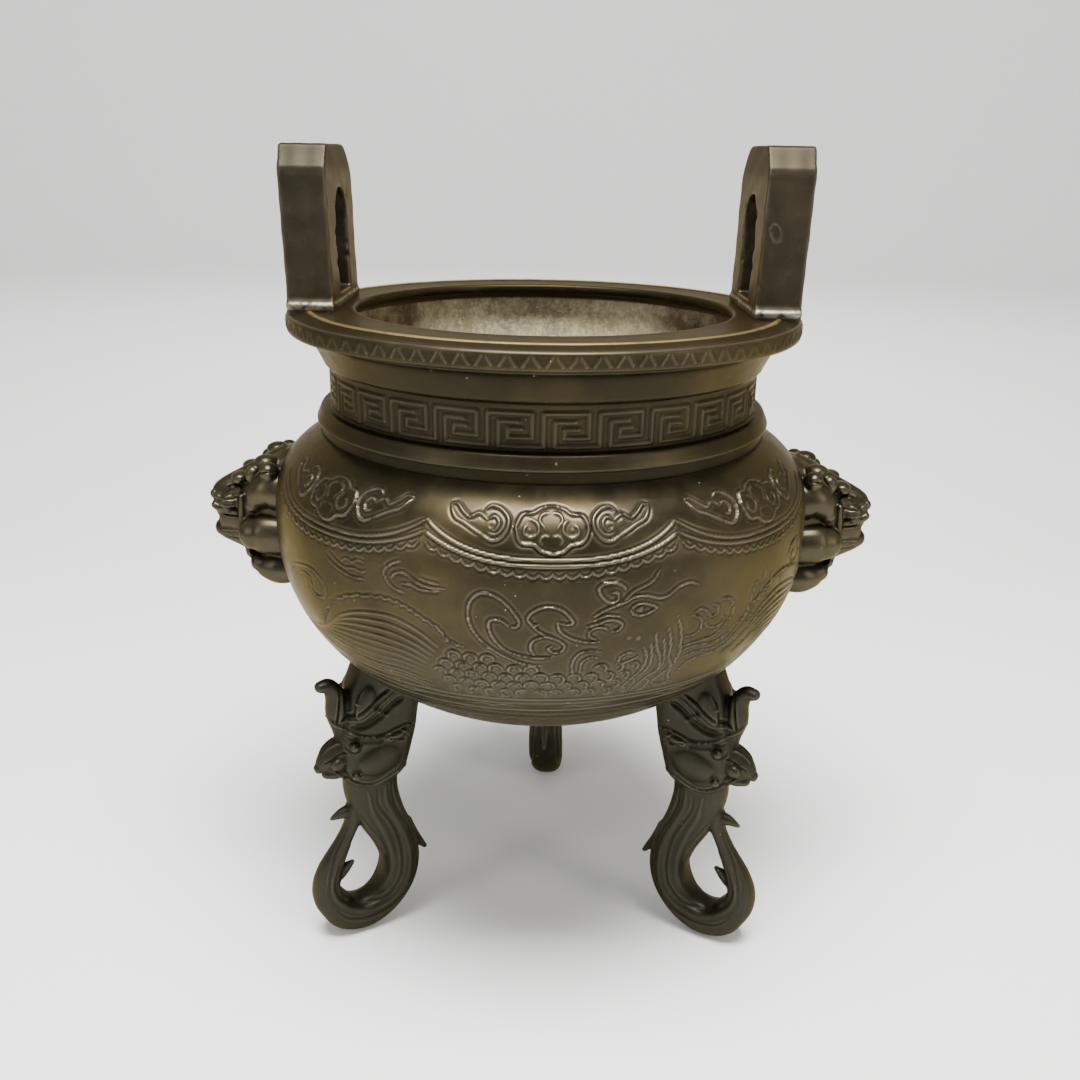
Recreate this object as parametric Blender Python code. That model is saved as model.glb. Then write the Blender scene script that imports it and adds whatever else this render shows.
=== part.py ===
"""Tripod incense burner in cast bronze, at its real size.

The bowl is hollow, with a turned wall, a raised key fret on its neck, swags and clouds on its
shoulder and a dragon among waves and clouds on its belly. Two loop handles stand on the rim, two
lion masks sit on the belly and three beast-headed legs carry it, all cast apart and joined on.

Metres, +Z up. The origin is on the ground, under the bowl's axis. The front looks along -Y, the
handles and the masks are at +X and -X. An azimuth is in degrees from the front towards +X.
"""

import math

import bmesh
import bpy
from mathutils import Matrix, Vector

MM = 0.001

# Bowl: heights are stacked from the ground up
BOWL_CLEARANCE = 85.6 * MM
BELLY_RADIUS = 97.6 * MM
BELLY_DEPTH = 73.8 * MM
SHOULDER_HEIGHT = 37.4 * MM
SHOULDER_CROWN = 42.8 * MM
SHOULDER_ROUNDNESS = 3.3
SHOULDER_LIP_RADIUS = 0.82992 * BELLY_RADIUS
BELLY_ROUNDNESS = 2.03
WALL = 3.5 * MM
GROOVE_HEIGHT = 1.4 * MM
GROOVE_DEPTH = 2.0 * MM
RING_RADIUS = 0.99136 * SHOULDER_LIP_RADIUS
RING_HEIGHT = 4.6 * MM
NECK_RADIUS = 0.94074 * SHOULDER_LIP_RADIUS
NECK_HEIGHT = 15.7 * MM
OVOLO_HEIGHT = 10.5 * MM
OVOLO_OVERHANG = 6.6 * MM
RIM_RADIUS = 1.1811 * NECK_RADIUS
RIM_FACE = 6.4 * MM
RIM_ROUND = 0.7 * MM
RIDGE_RADIUS = 0.91667 * RIM_RADIUS
RIDGE_RISE = 1.5 * MM
MOUTH_RADIUS = 0.73556 * RIM_RADIUS
DISH_DROP = 0.6 * MM
LIP_THICKNESS = 4.2 * MM
TURN_STEPS = 32

# Key fret on the neck
FRET_UNITS = 28
FRET_HEIGHT = 9.7 * MM
FRET_FOOT = 2.0 * MM
FRET_LINE = 1.0 * MM
FRET_RISE = 0.7 * MM

# Shoulder and belly carving, raised over the wall
CARVING_ROOT = 0.62 * WALL
SWAG_LINE = 1.9 * MM
SWAG_RISE = 0.7 * MM
CLOUD_RISE = 1.0 * MM
FIGURE_LINE = 1.5 * MM
FIGURE_RISE = 0.8 * MM
SCALE_BAND = 15.0 * MM
OPEN_SWAG_SPAN = 47.5
CARVING_TURN = 2.3

# Handles
HANDLE_REACH = 0.95333 * RIM_RADIUS
HANDLE_THICKNESS = 15.6 * MM
HANDLE_WIDTH = 49.0 * MM
HANDLE_LEAN = 1.2 * MM
LEFT_HANDLE_HEIGHT = 52.4 * MM
RIGHT_HANDLE_HEIGHT = 54.2 * MM
FRONT_CHAMFER = 6.0 * MM
BACK_CHAMFER = 14.0 * MM
CHAMFER_DROP = 8.4 * MM
HANDLE_FOOT = 4.2 * MM
FOOT_FLARE = 1.6 * MM
SLOT_WIDTH = 21.0 * MM
SLOT_HEIGHT = 34.4 * MM

# Lion masks
MASK_REACH = 1.26844 * BELLY_RADIUS
MASK_HEIGHT = 52.0 * MM
MASK_WIDTH = 50.0 * MM
MASK_CENTRE_DROP = 1.2 * MM
MANE_SPREAD = 0.76
MANE_LOBE = 0.3

# Legs
LEG_AZIMUTHS = {"leg_front_left": -60.0, "leg_front_right": 60.0, "leg_back": 176.0}
LEG_THICKNESS = 15.0 * MM
HEAD_THICKNESS = 19.0 * MM
LEG_REACH = 1.00615 * BELLY_RADIUS
LEG_UNIT = LEG_REACH / 98.2
FOOT_SINK = 0.5 * MM

# Pieces that touch are kept this far apart
JOINT_GAP = 0.3 * MM

BOWL_BOTTOM = BOWL_CLEARANCE
BELLY_LEVEL = BOWL_BOTTOM + BELLY_DEPTH
SHOULDER_TOP = BELLY_LEVEL + SHOULDER_HEIGHT
RING_FOOT = SHOULDER_TOP + GROOVE_HEIGHT
NECK_FOOT = RING_FOOT + RING_HEIGHT
OVOLO_FOOT = NECK_FOOT + NECK_HEIGHT
RIM_UNDERSIDE = OVOLO_FOOT + OVOLO_HEIGHT
RIM_EDGE = RIM_UNDERSIDE + RIM_FACE
BODY_SPAN = SHOULDER_TOP - BOWL_BOTTOM


def clear_scene():
    for old in list(bpy.data.objects):
        bpy.data.objects.remove(old, do_unlink=True)


def bronze(name, colour, roughness):
    material = bpy.data.materials.new(name)
    material.use_nodes = True
    shader = material.node_tree.nodes["Principled BSDF"]
    shader.inputs["Base Color"].default_value = (*colour, 1.0)
    shader.inputs["Metallic"].default_value = 0.9
    shader.inputs["Roughness"].default_value = roughness
    return material


def new_object(name, bm, material=None):
    """Close a bmesh into an object of that name."""
    bmesh.ops.recalc_face_normals(bm, faces=bm.faces)
    mesh = bpy.data.meshes.new(name)
    bm.to_mesh(mesh)
    bm.free()
    if material:
        mesh.materials.append(material)
    obj = bpy.data.objects.new(name, mesh)
    bpy.context.scene.collection.objects.link(obj)
    return obj


def combine(target, operation, tools):
    """Run Boolean modifiers with the tools on the target, then delete the tools."""
    for tool in tools:
        tool.hide_render = True
        tool.display_type = "WIRE"
        modifier = target.modifiers.new(tool.name, "BOOLEAN")
        modifier.operation = operation
        modifier.solver = "EXACT"
        modifier.object = tool
        modifier.use_self = operation == "UNION"
    bpy.context.view_layer.update()
    graph = bpy.context.evaluated_depsgraph_get()
    done = bpy.data.meshes.new_from_object(target.evaluated_get(graph))
    target.modifiers.clear()
    target.data = done
    for tool in tools:
        bpy.data.objects.remove(tool, do_unlink=True)
    return target


def shade(obj, angle=35.0):
    obj.data.shade_smooth()
    obj.data.set_sharp_from_angle(angle=math.radians(angle))


# Bowl


def quarter(radius, depth, roundness, steps):
    """Points of a superellipse quarter, from its widest level to its far end."""
    points = []
    for step in range(steps + 1):
        turn = math.radians(90.0) * step / steps
        points.append(
            (
                radius * math.cos(turn) ** (2.0 / roundness) if step < steps else 0.0,
                depth * math.sin(turn) ** (2.0 / roundness),
            )
        )
    return points


def shoulder_radius(rise):
    """Radius of the shoulder so far above the belly's widest level. It ends in a short upright lip."""
    share = min(1.0, max(0.0, rise / SHOULDER_CROWN))
    curve = BELLY_RADIUS * (1.0 - share**SHOULDER_ROUNDNESS) ** (1.0 / SHOULDER_ROUNDNESS)
    return max(SHOULDER_LIP_RADIUS, curve)


def lip_rise():
    """How far above the belly's widest level the shoulder's curve reaches the lip's radius."""
    ratio = min(1.0, SHOULDER_LIP_RADIUS / BELLY_RADIUS)
    share = (1.0 - ratio**SHOULDER_ROUNDNESS) ** (1.0 / SHOULDER_ROUNDNESS)
    return min(share * SHOULDER_CROWN, 0.96 * SHOULDER_HEIGHT)


def bowl_radius(height):
    """Outer radius of the bowl's wall at a height, for the belly, the shoulder and the neck."""
    if height >= SHOULDER_TOP:
        return NECK_RADIUS
    if height >= BELLY_LEVEL:
        return shoulder_radius(height - BELLY_LEVEL)
    share = min(1.0, (BELLY_LEVEL - height) / BELLY_DEPTH)
    return BELLY_RADIUS * (1.0 - share**BELLY_ROUNDNESS) ** (1.0 / BELLY_ROUNDNESS)


def outer_profile():
    """The turned outside, from the bottom centre up to the inner edge of the mouth."""
    lower = quarter(BELLY_RADIUS, BELLY_DEPTH, BELLY_ROUNDNESS, 7)
    points = [(radius, BELLY_LEVEL - drop) for radius, drop in reversed(lower)]
    shoulder_steps = 4
    for step in range(1, shoulder_steps + 1):
        rise = lip_rise() * math.sin(math.radians(90.0) * step / shoulder_steps)
        points.append((shoulder_radius(rise), BELLY_LEVEL + rise))
    points.append((shoulder_radius(SHOULDER_HEIGHT), SHOULDER_TOP))
    points.append((RING_RADIUS - GROOVE_DEPTH, SHOULDER_TOP + 0.4 * GROOVE_HEIGHT))
    points.append((RING_RADIUS, RING_FOOT))
    points.append((RING_RADIUS - 0.1 * (RING_RADIUS - NECK_RADIUS), RING_FOOT + 0.35 * RING_HEIGHT))
    points.append((NECK_RADIUS, NECK_FOOT))
    points.append((NECK_RADIUS, OVOLO_FOOT))
    ovolo_steps = 2
    for step in range(1, ovolo_steps + 1):
        turn = math.radians(90.0) * step / ovolo_steps
        points.append(
            (
                NECK_RADIUS + OVOLO_OVERHANG * math.sin(turn),
                OVOLO_FOOT + OVOLO_HEIGHT * (1.0 - math.cos(turn)),
            )
        )
    points.append((RIM_RADIUS - RIM_ROUND, RIM_UNDERSIDE))
    points.append((RIM_RADIUS, RIM_UNDERSIDE + RIM_ROUND))
    points.append((RIM_RADIUS, RIM_EDGE - RIM_ROUND))
    points.append((RIM_RADIUS - RIM_ROUND, RIM_EDGE))
    points.append((RIDGE_RADIUS, RIM_EDGE + RIDGE_RISE))
    points.append((MOUTH_RADIUS, RIM_EDGE + RIDGE_RISE - DISH_DROP))
    return points


def inner_profile():
    """The turned inside, from under the lip down to the bottom centre."""
    neck = NECK_RADIUS - WALL
    lip_under = RIM_EDGE + RIDGE_RISE - DISH_DROP - LIP_THICKNESS
    inside = BELLY_RADIUS - WALL
    points = [
        (MOUTH_RADIUS, lip_under),
        (neck, lip_under - 0.5 * LIP_THICKNESS),
        (neck, RING_FOOT),
    ]
    rise = 0.85 * lip_rise()
    points.append((shoulder_radius(rise) - WALL, BELLY_LEVEL + rise - 0.6 * WALL))
    lower = quarter(inside, BELLY_DEPTH - WALL, BELLY_ROUNDNESS, 4)
    points += [(radius, BELLY_LEVEL - drop) for radius, drop in lower]
    return points


def turned(name, profile, steps, material=None):
    """A closed solid of revolution. The profile starts and ends on the axis."""
    bm = bmesh.new()
    verts = [bm.verts.new((radius, 0.0, height)) for radius, height in profile]
    edges = [bm.edges.new(pair) for pair in zip(verts, verts[1:])]
    bmesh.ops.spin(
        bm,
        geom=verts + edges,
        cent=(0, 0, 0),
        axis=(0, 0, 1),
        angle=math.tau,
        steps=steps,
        use_merge=True,
    )
    bmesh.ops.remove_doubles(bm, verts=bm.verts, dist=0.01 * MM)
    return new_object(name, bm, material)


def grown(profile, distance):
    """The profile moved outwards, along each point's own normal."""
    moved = []
    for index, (radius, height) in enumerate(profile):
        before = profile[max(index - 1, 0)]
        after = profile[min(index + 1, len(profile) - 1)]
        along = Vector((after[0] - before[0], after[1] - before[1])).normalized()
        normal = Vector((along.y, -along.x))
        if radius == 0.0:
            normal = Vector((0.0, -1.0))
        moved.append((max(0.0, radius + normal.x * distance), height + normal.y * distance))
    return moved


def clearance_cutter(name):
    """What a joined piece is cut back by: the outside of the bowl, grown by the joint gap."""
    profile = grown(outer_profile(), JOINT_GAP)
    return turned(name, profile + [(0.0, profile[-1][1])], TURN_STEPS)


# Carving on the bowl


def on_bowl(azimuth, height):
    """The point on the bowl at an azimuth and a height, with the wall's outward normal there."""
    step = 0.5 * MM
    slope = (bowl_radius(height + step) - bowl_radius(height - step)) / (2.0 * step)
    turn = math.radians(azimuth)
    out = Vector((math.sin(turn), -math.cos(turn), 0.0))
    normal = (out - Vector((0.0, 0.0, slope))).normalized()
    return out * bowl_radius(height) + Vector((0.0, 0.0, height)), normal


def level(share):
    """Height on the body, as a share of the way from its bottom up to the groove."""
    return BOWL_BOTTOM + share * BODY_SPAN


def ribbon(bm, path, width, rise, crown=0.0):
    """A raised line along (azimuth, height) points, rooted in the wall and pointed at its ends.

    The crown is the flat top's share of the width: at 0 the line is a plain ridge.
    """
    places = [on_bowl(*point) for point in path]
    rings = []
    for index, (point, normal) in enumerate(places):
        sides = []
        if index > 0:
            sides.append(normal.cross(point - places[index - 1][0]).normalized())
        if index < len(places) - 1:
            sides.append(normal.cross(places[index + 1][0] - point).normalized())
        side = sum(sides, Vector()).normalized()
        reach = 0.5 * width / max(0.6, side.dot(sides[0]))
        if crown:
            top = [point + normal * rise + side * crown * reach * way for way in (-1.0, 1.0)]
        else:
            if index in (0, len(places) - 1):
                reach *= 0.5
            top = [point + normal * rise]
        root = [point - normal * CARVING_ROOT + side * reach * way for way in (1.0, -1.0)]
        rings.append([bm.verts.new(corner) for corner in top + root])
    for low, high in zip(rings, rings[1:]):
        for corner in range(len(low)):
            following = (corner + 1) % len(low)
            bm.faces.new((low[corner], low[following], high[following], high[corner]))
    bm.faces.new(rings[0])
    bm.faces.new(reversed(rings[-1]))


def pad(bm, outline, rise):
    """A raised figure with that (azimuth, height) outline, rooted in the wall and fanned from its middle."""
    count = len(outline)
    middle = tuple(sum(point[axis] for point in outline) / count for axis in range(2))
    places = [on_bowl(*point) for point in outline + [middle]]
    tops = [bm.verts.new(point + normal * rise) for point, normal in places]
    roots = [bm.verts.new(point - normal * CARVING_ROOT) for point, normal in places]
    for index in range(count):
        following = (index + 1) % count
        bm.faces.new((tops[index], tops[following], tops[count]))
        bm.faces.new((roots[following], roots[index], roots[count]))
        bm.faces.new((tops[index], roots[index], roots[following], tops[following]))


def arc(centre, radii, start, end, steps):
    """(azimuth, height) points round an ellipse: radii are in degrees and in metres."""
    points = []
    for step in range(steps + 1):
        turn = math.radians(start + (end - start) * step / steps)
        points.append(
            (centre[0] + radii[0] * math.cos(turn), centre[1] + radii[1] * math.sin(turn))
        )
    return points


def fret_band(bm):
    """Square spirals in a row: each line hooks into the one before."""
    hook = ((0.4, 0.3), (0.8, 0.3), (0.8, 1.0), (0.0, 1.0), (0.0, 0.0), (-0.8, 0.0), (-0.8, 0.7))
    pitch = 360.0 / FRET_UNITS
    foot = NECK_FOOT + FRET_FOOT
    for unit in range(FRET_UNITS):
        path = [((unit + across) * pitch, foot + up * FRET_HEIGHT) for across, up in hook]
        ribbon(bm, path, FRET_LINE, FRET_RISE)


def swag_centres():
    """Centre of each swag: three in front and three behind, with a gap behind each mask."""
    behind_mask = (360.0 - 6.0 * OPEN_SWAG_SPAN) / 2.0
    centres = []
    edge = CARVING_TURN - 1.5 * OPEN_SWAG_SPAN
    for half in range(2):
        centres += [edge + (place + 0.5) * OPEN_SWAG_SPAN for place in range(3)]
        edge += 3.0 * OPEN_SWAG_SPAN + behind_mask
    return centres


def beside_mask(azimuth):
    """The azimuth, or the nearest one that no mask covers."""
    half = math.degrees(math.asin(min(0.9, 0.5 * MASK_WIDTH * (MANE_SPREAD + MANE_LOBE) / BELLY_RADIUS)))
    half += 1.5
    for middle in (-90.0, 90.0, 270.0):
        if abs(azimuth - middle) < half:
            return middle + math.copysign(half, azimuth - middle)
    return azimuth


def swag(bm, centre, width):
    """A line that hangs between two cusps. It ends beside a mask."""
    steps = 4
    path = []
    for step in range(steps + 1):
        across = -1.0 + 2.0 * step / steps
        sag = level(0.9) - (level(0.9) - level(0.803)) * (1.0 - abs(across) ** 2.2)
        path.append((beside_mask(centre + 0.485 * width * across), sag))
    ribbon(bm, path, SWAG_LINE, SWAG_RISE)


def cloud(bm, centre):
    """A ruyi head of three lobes between two curls with tails."""
    middle = level(0.893)
    half = 6.3
    tall = 5.6 * MM
    lobes = []
    for turn, reach in ((-90, 1.05), (-40, 0.9), (0, 1.15), (42, 1.0), (90, 1.15), (138, 1.0), (180, 1.15), (220, 0.9)):
        angle = math.radians(turn)
        lobes.append((centre + half * reach * math.cos(angle), middle + tall * reach * math.sin(angle)))
    pad(bm, lobes, CLOUD_RISE)
    for side in (-1.0, 1.0):
        curl = arc((centre + 11.6, middle), (3.2, 4.2 * MM), 210, 20, 2)
        tail = [(centre + 20.0, middle + 2.6 * MM)]
        path = [(centre + side * (azimuth - centre), height) for azimuth, height in curl + tail]
        ribbon(bm, path, SWAG_LINE, CLOUD_RISE)


def spiral_cloud(bm, centre, share, size, lean):
    """A comma of cloud with a curled head and a long tail."""
    head = arc((centre, level(share)), (size, size * 1.5 * MM), 10, 250, 4)
    tail = [(centre + lean * size * 0.5, level(share) - size * 2.4 * MM), (centre + lean * size * 1.9, level(share) - size * 3.4 * MM)]
    ribbon(bm, head + tail, FIGURE_LINE, FIGURE_RISE)


def wave(bm, centre, side):
    """Nested arcs of a breaking wave."""
    for share, reach in ((0.5, 14.0), (0.4, 9.0)):
        crest = arc((centre, level(share - 0.1)), (reach, reach * 0.9 * MM), 160, 20, 3)
        crest = [(centre + side * (azimuth - centre), height) for azimuth, height in crest]
        ribbon(bm, crest, FIGURE_LINE, FIGURE_RISE)


def dragon(bm, centre):
    """A generic dragon seen from the side: head and horns, mane, and a scaled back below."""
    head = ((-6.5, 0.62), (-3.5, 0.672), (1.5, 0.7), (6.0, 0.69), (7.5, 0.655), (4.0, 0.6), (0.0, 0.585), (-4.0, 0.575), (-7.0, 0.59))
    pad(bm, [(centre + across, level(share)) for across, share in head], FIGURE_RISE)
    for horn in (((0.8, 0.71), (4.0, 0.735), (6.2, 0.76)), ((8.6, 0.692), (11.5, 0.714), (14.5, 0.705))):
        ribbon(bm, [(centre + across, level(share)) for across, share in horn], FIGURE_LINE, FIGURE_RISE)
    for across, lean in ((2.0, 3.0), (5.5, 4.5), (9.0, 6.0)):
        lock = ((across, 0.57), (across + 3.0, 0.6), (across + lean + 2.4, 0.45), (across + lean, 0.44))
        pad(bm, [(centre + point[0], level(point[1])) for point in lock], FIGURE_RISE)
    back = [(centre - 31.0 + 7.6 * step, level(0.395) + 0.6 * MM * step) for step in range(5)]
    ribbon(bm, back, SCALE_BAND, FIGURE_RISE, 0.9)


def carving():
    """All raised ornament of the bowl in one object, each figure a closed shell of its own."""
    bm = bmesh.new()
    fret_band(bm)
    for centre in swag_centres():
        swag(bm, centre, OPEN_SWAG_SPAN)
        cloud(bm, centre)
    dragon(bm, 18.0)
    wave(bm, -33.0, 1.0)
    wave(bm, 47.0, -1.0)
    spiral_cloud(bm, -9.0, 0.66, 3.8, 1.0)
    spiral_cloud(bm, 2.5, 0.6, 3.2, 1.0)
    spiral_cloud(bm, -27.0, 0.685, 2.6, 1.0)
    spiral_cloud(bm, -52.0, 0.6, 3.6, -1.0)
    for centre in (148.0, 214.0):
        wave(bm, centre, 1.0)
    return new_object("carving", bm)


def make_bowl(material):
    bowl = turned("bowl", outer_profile() + inner_profile(), TURN_STEPS, material)
    return combine(bowl, "UNION", [carving()])


# Handles


def handle_outline(height):
    """Outline of a handle seen along X, as (y, height above the rim's ridge)."""
    half = 0.5 * HANDLE_WIDTH
    return [
        (-half - FOOT_FLARE, -2.0 * RIDGE_RISE),
        (-half - FOOT_FLARE, 0.35 * HANDLE_FOOT),
        (-half, HANDLE_FOOT),
        (-half, height - CHAMFER_DROP),
        (-half + 0.35 * FRONT_CHAMFER, height - 0.3 * CHAMFER_DROP),
        (-half + FRONT_CHAMFER, height),
        (half - BACK_CHAMFER, height),
        (half - 0.4 * BACK_CHAMFER, height - 0.45 * CHAMFER_DROP),
        (half, height - 1.3 * CHAMFER_DROP),
        (half, HANDLE_FOOT),
        (half + FOOT_FLARE, 0.35 * HANDLE_FOOT),
        (half + FOOT_FLARE, -2.0 * RIDGE_RISE),
    ]


def slot_outline():
    """Outline of the finger slot: straight sides and a round head."""
    half = 0.5 * SLOT_WIDTH
    spring = HANDLE_FOOT + SLOT_HEIGHT - half
    head = [(half * math.cos(math.radians(turn)), spring + half * math.sin(math.radians(turn))) for turn in range(0, 181, 30)]
    return [(-half, HANDLE_FOOT), (half, HANDLE_FOOT)] + head


def plate(name, outline, base, low, high, lean=0.0):
    """A (y, height) outline extruded along X from low to high, leaning outwards as it rises."""
    bm = bmesh.new()
    verts = [bm.verts.new((low + lean * max(0.0, up), across, base + up)) for across, up in outline]
    face = bm.faces.new(verts)
    grown_out = bmesh.ops.extrude_face_region(bm, geom=[face])
    moved = [item for item in grown_out["geom"] if isinstance(item, bmesh.types.BMVert)]
    bmesh.ops.translate(bm, verts=moved, vec=(high - low, 0, 0))
    return new_object(name, bm)


def make_handle(name, side, height, material):
    """A loop handle, standing on the rim."""
    ridge = RIM_EDGE + RIDGE_RISE
    lean = HANDLE_LEAN / height
    inner = HANDLE_REACH - HANDLE_THICKNESS
    handle = plate(name, handle_outline(height), ridge, inner, HANDLE_REACH, lean)
    handle.data.materials.append(material)
    margin = 4.0 * MM
    slot = plate("slot", slot_outline(), ridge, inner - margin, HANDLE_REACH + margin, lean)
    combine(handle, "DIFFERENCE", [slot, clearance_cutter("rim_top")])
    if side < 0:
        mirror(handle)
    return handle


def mirror(obj):
    """Turn a piece made for +X into the one for -X."""
    bm = bmesh.new()
    bm.from_mesh(obj.data)
    bmesh.ops.scale(bm, vec=(-1, 1, 1), verts=bm.verts)
    bmesh.ops.reverse_faces(bm, faces=bm.faces)
    bm.to_mesh(obj.data)
    bm.free()


# Lion masks


def loft(name, rings):
    """A closed solid through rings that have the same number of points."""
    bm = bmesh.new()
    made = [[bm.verts.new(point) for point in ring] for ring in rings]
    for low, high in zip(made, made[1:]):
        for index in range(len(low)):
            following = (index + 1) % len(low)
            bm.faces.new((low[index], low[following], high[following], high[index]))
    bm.faces.new(made[0])
    bm.faces.new(reversed(made[-1]))
    return new_object(name, bm)


def blob(name, centre, size, turn=0.0):
    """A faceted lump with those half sizes, turned about Y."""
    bm = bmesh.new()
    bmesh.ops.create_icosphere(bm, subdivisions=1, radius=1.0)
    bmesh.ops.scale(bm, vec=size, verts=bm.verts)
    bmesh.ops.rotate(bm, cent=(0, 0, 0), matrix=Matrix.Rotation(math.radians(turn), 3, "Y"), verts=bm.verts)
    bmesh.ops.translate(bm, vec=centre, verts=bm.verts)
    return new_object(name, bm)


def make_mask(name, side, material):
    """A lion mask on the belly: mane, sloping brow and nose, open mouth and jaw."""
    middle = BELLY_LEVEL - MASK_CENTRE_DROP
    reach = MASK_REACH - BELLY_RADIUS
    tall = 0.5 * MASK_HEIGHT
    half = 0.5 * MASK_WIDTH

    def place(out, across, up):
        """A point from shares of the mask's reach past the belly, its half width and height."""
        return (BELLY_RADIUS + out * reach, across * half, middle + up * tall)

    def ring(out, wide, top, low):
        flank = 0.5 * (top + low)
        return [
            place(out, -0.55 * wide, low),
            place(out, 0.55 * wide, low),
            place(out, wide, flank - 0.35 * (top - low)),
            place(out, wide, flank + 0.25 * (top - low)),
            place(out, 0.5 * wide, top),
            place(out, -0.5 * wide, top),
            place(out, -wide, flank + 0.25 * (top - low)),
            place(out, -wide, flank - 0.35 * (top - low)),
        ]

    mask = loft(name, [ring(-0.75, 0.92, 1.04, -0.98), ring(0.1, 0.8, 0.88, -0.8), ring(0.36, 0.62, 0.7, -0.52)])
    mask.data.materials.append(material)
    parts = [
        loft("muzzle", [ring(0.2, 0.5, 0.8, 0.0), ring(0.62, 0.44, 0.54, 0.02), ring(0.95, 0.3, 0.36, 0.12)]),
        loft("throat", [ring(0.2, 0.42, 0.4, -0.3), ring(0.82, 0.3, 0.3, -0.26)]),
        loft("jaw", [ring(0.2, 0.44, -0.1, -0.58), ring(0.66, 0.36, -0.1, -0.46), ring(0.97, 0.24, -0.14, -0.3)]),
        blob("nose", place(0.9, 0.0, 0.3), (2.8 * MM, 5.4 * MM, 2.8 * MM)),
    ]
    for flank in (-1.0, 1.0):
        for up, out, tall_share in ((0.58, 0.22, 0.34), (0.02, 0.28, 0.35), (-0.55, 0.12, 0.32)):
            centre = place(out - 0.12, flank * MANE_SPREAD, up)
            size = (reach * 0.42, MANE_LOBE * half, tall * tall_share)
            parts.append(blob("mane", centre, size, 14.0 * up))
        parts.append(blob("eye", place(0.6, flank * 0.38, 0.38), (3.6 * MM, 3.2 * MM, 3.0 * MM)))
    combine(mask, "UNION", parts)
    combine(mask, "DIFFERENCE", [clearance_cutter("belly_side")])
    if side < 0:
        mirror(mask)
    return mask


# Legs: drawn in the leg's own plane as (radius from the bowl's axis, height), Y across the leg


def smooth_path(stations, steps):
    """A smooth curve through the stations, each a tuple of numbers, with points between them."""
    points = []
    last = len(stations) - 1
    for index in range(last):
        around = [stations[min(max(index + offset, 0), last)] for offset in (-1, 0, 1, 2)]
        for step in range(steps):
            share = step / steps
            weights = (
                -0.5 * share + share**2 - 0.5 * share**3,
                1.0 - 2.5 * share**2 + 1.5 * share**3,
                0.5 * share + 2.0 * share**2 - 1.5 * share**3,
                -0.5 * share**2 + 0.5 * share**3,
            )
            points.append(tuple(sum(w * values[k] for w, values in zip(weights, around)) for k in range(len(stations[0]))))
    points.append(tuple(stations[last]))
    return points


def sweep(name, stations, steps, sides, across):
    """A tapering limb through (radius, height, half width) stations, as thick as across says."""
    points = smooth_path(stations, steps)
    rings = []
    for index, (radius, height, half) in enumerate(points):
        before = points[max(index - 1, 0)]
        after = points[min(index + 1, len(points) - 1)]
        along = Vector((after[0] - before[0], 0.0, after[1] - before[1])).normalized()
        side = Vector((along.z, 0.0, -along.x))
        thick = across(half)
        ring = []
        for corner in range(sides):
            turn = math.tau * (corner + 0.5) / sides
            ring.append(Vector((radius, 0, height)) + side * half * math.cos(turn) / math.cos(math.pi / sides) + Vector((0, thick * math.sin(turn), 0)))
        rings.append(ring)
    return loft(name, rings)


def leg_scale(radius, height):
    """A point drawn at the leg's own size, fitted to the bowl's clearance and the leg's reach."""
    drawn_clearance = 88.6
    return (radius * LEG_UNIT, height * BOWL_CLEARANCE / drawn_clearance)


def drawn(stations):
    return [(*leg_scale(radius, height), half * LEG_UNIT) for radius, height, half in stations]


def outline_loft(name, outline, thickness, edge):
    """A plate of that outline with both faces drawn in by the edge share, so its rim is bevelled."""
    middle = sum((Vector(point) for point in outline), Vector((0.0, 0.0))) / len(outline)
    half = 0.5 * thickness
    rings = []
    for across, draw in ((-half, edge), (-0.45 * half, 0.0), (0.45 * half, 0.0), (half, edge)):
        ring = []
        for point in outline:
            inward = (middle - Vector(point)) * draw
            ring.append((point[0] + inward.x, across, point[1] + inward.y))
        rings.append(ring)
    return loft(name, rings)


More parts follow.
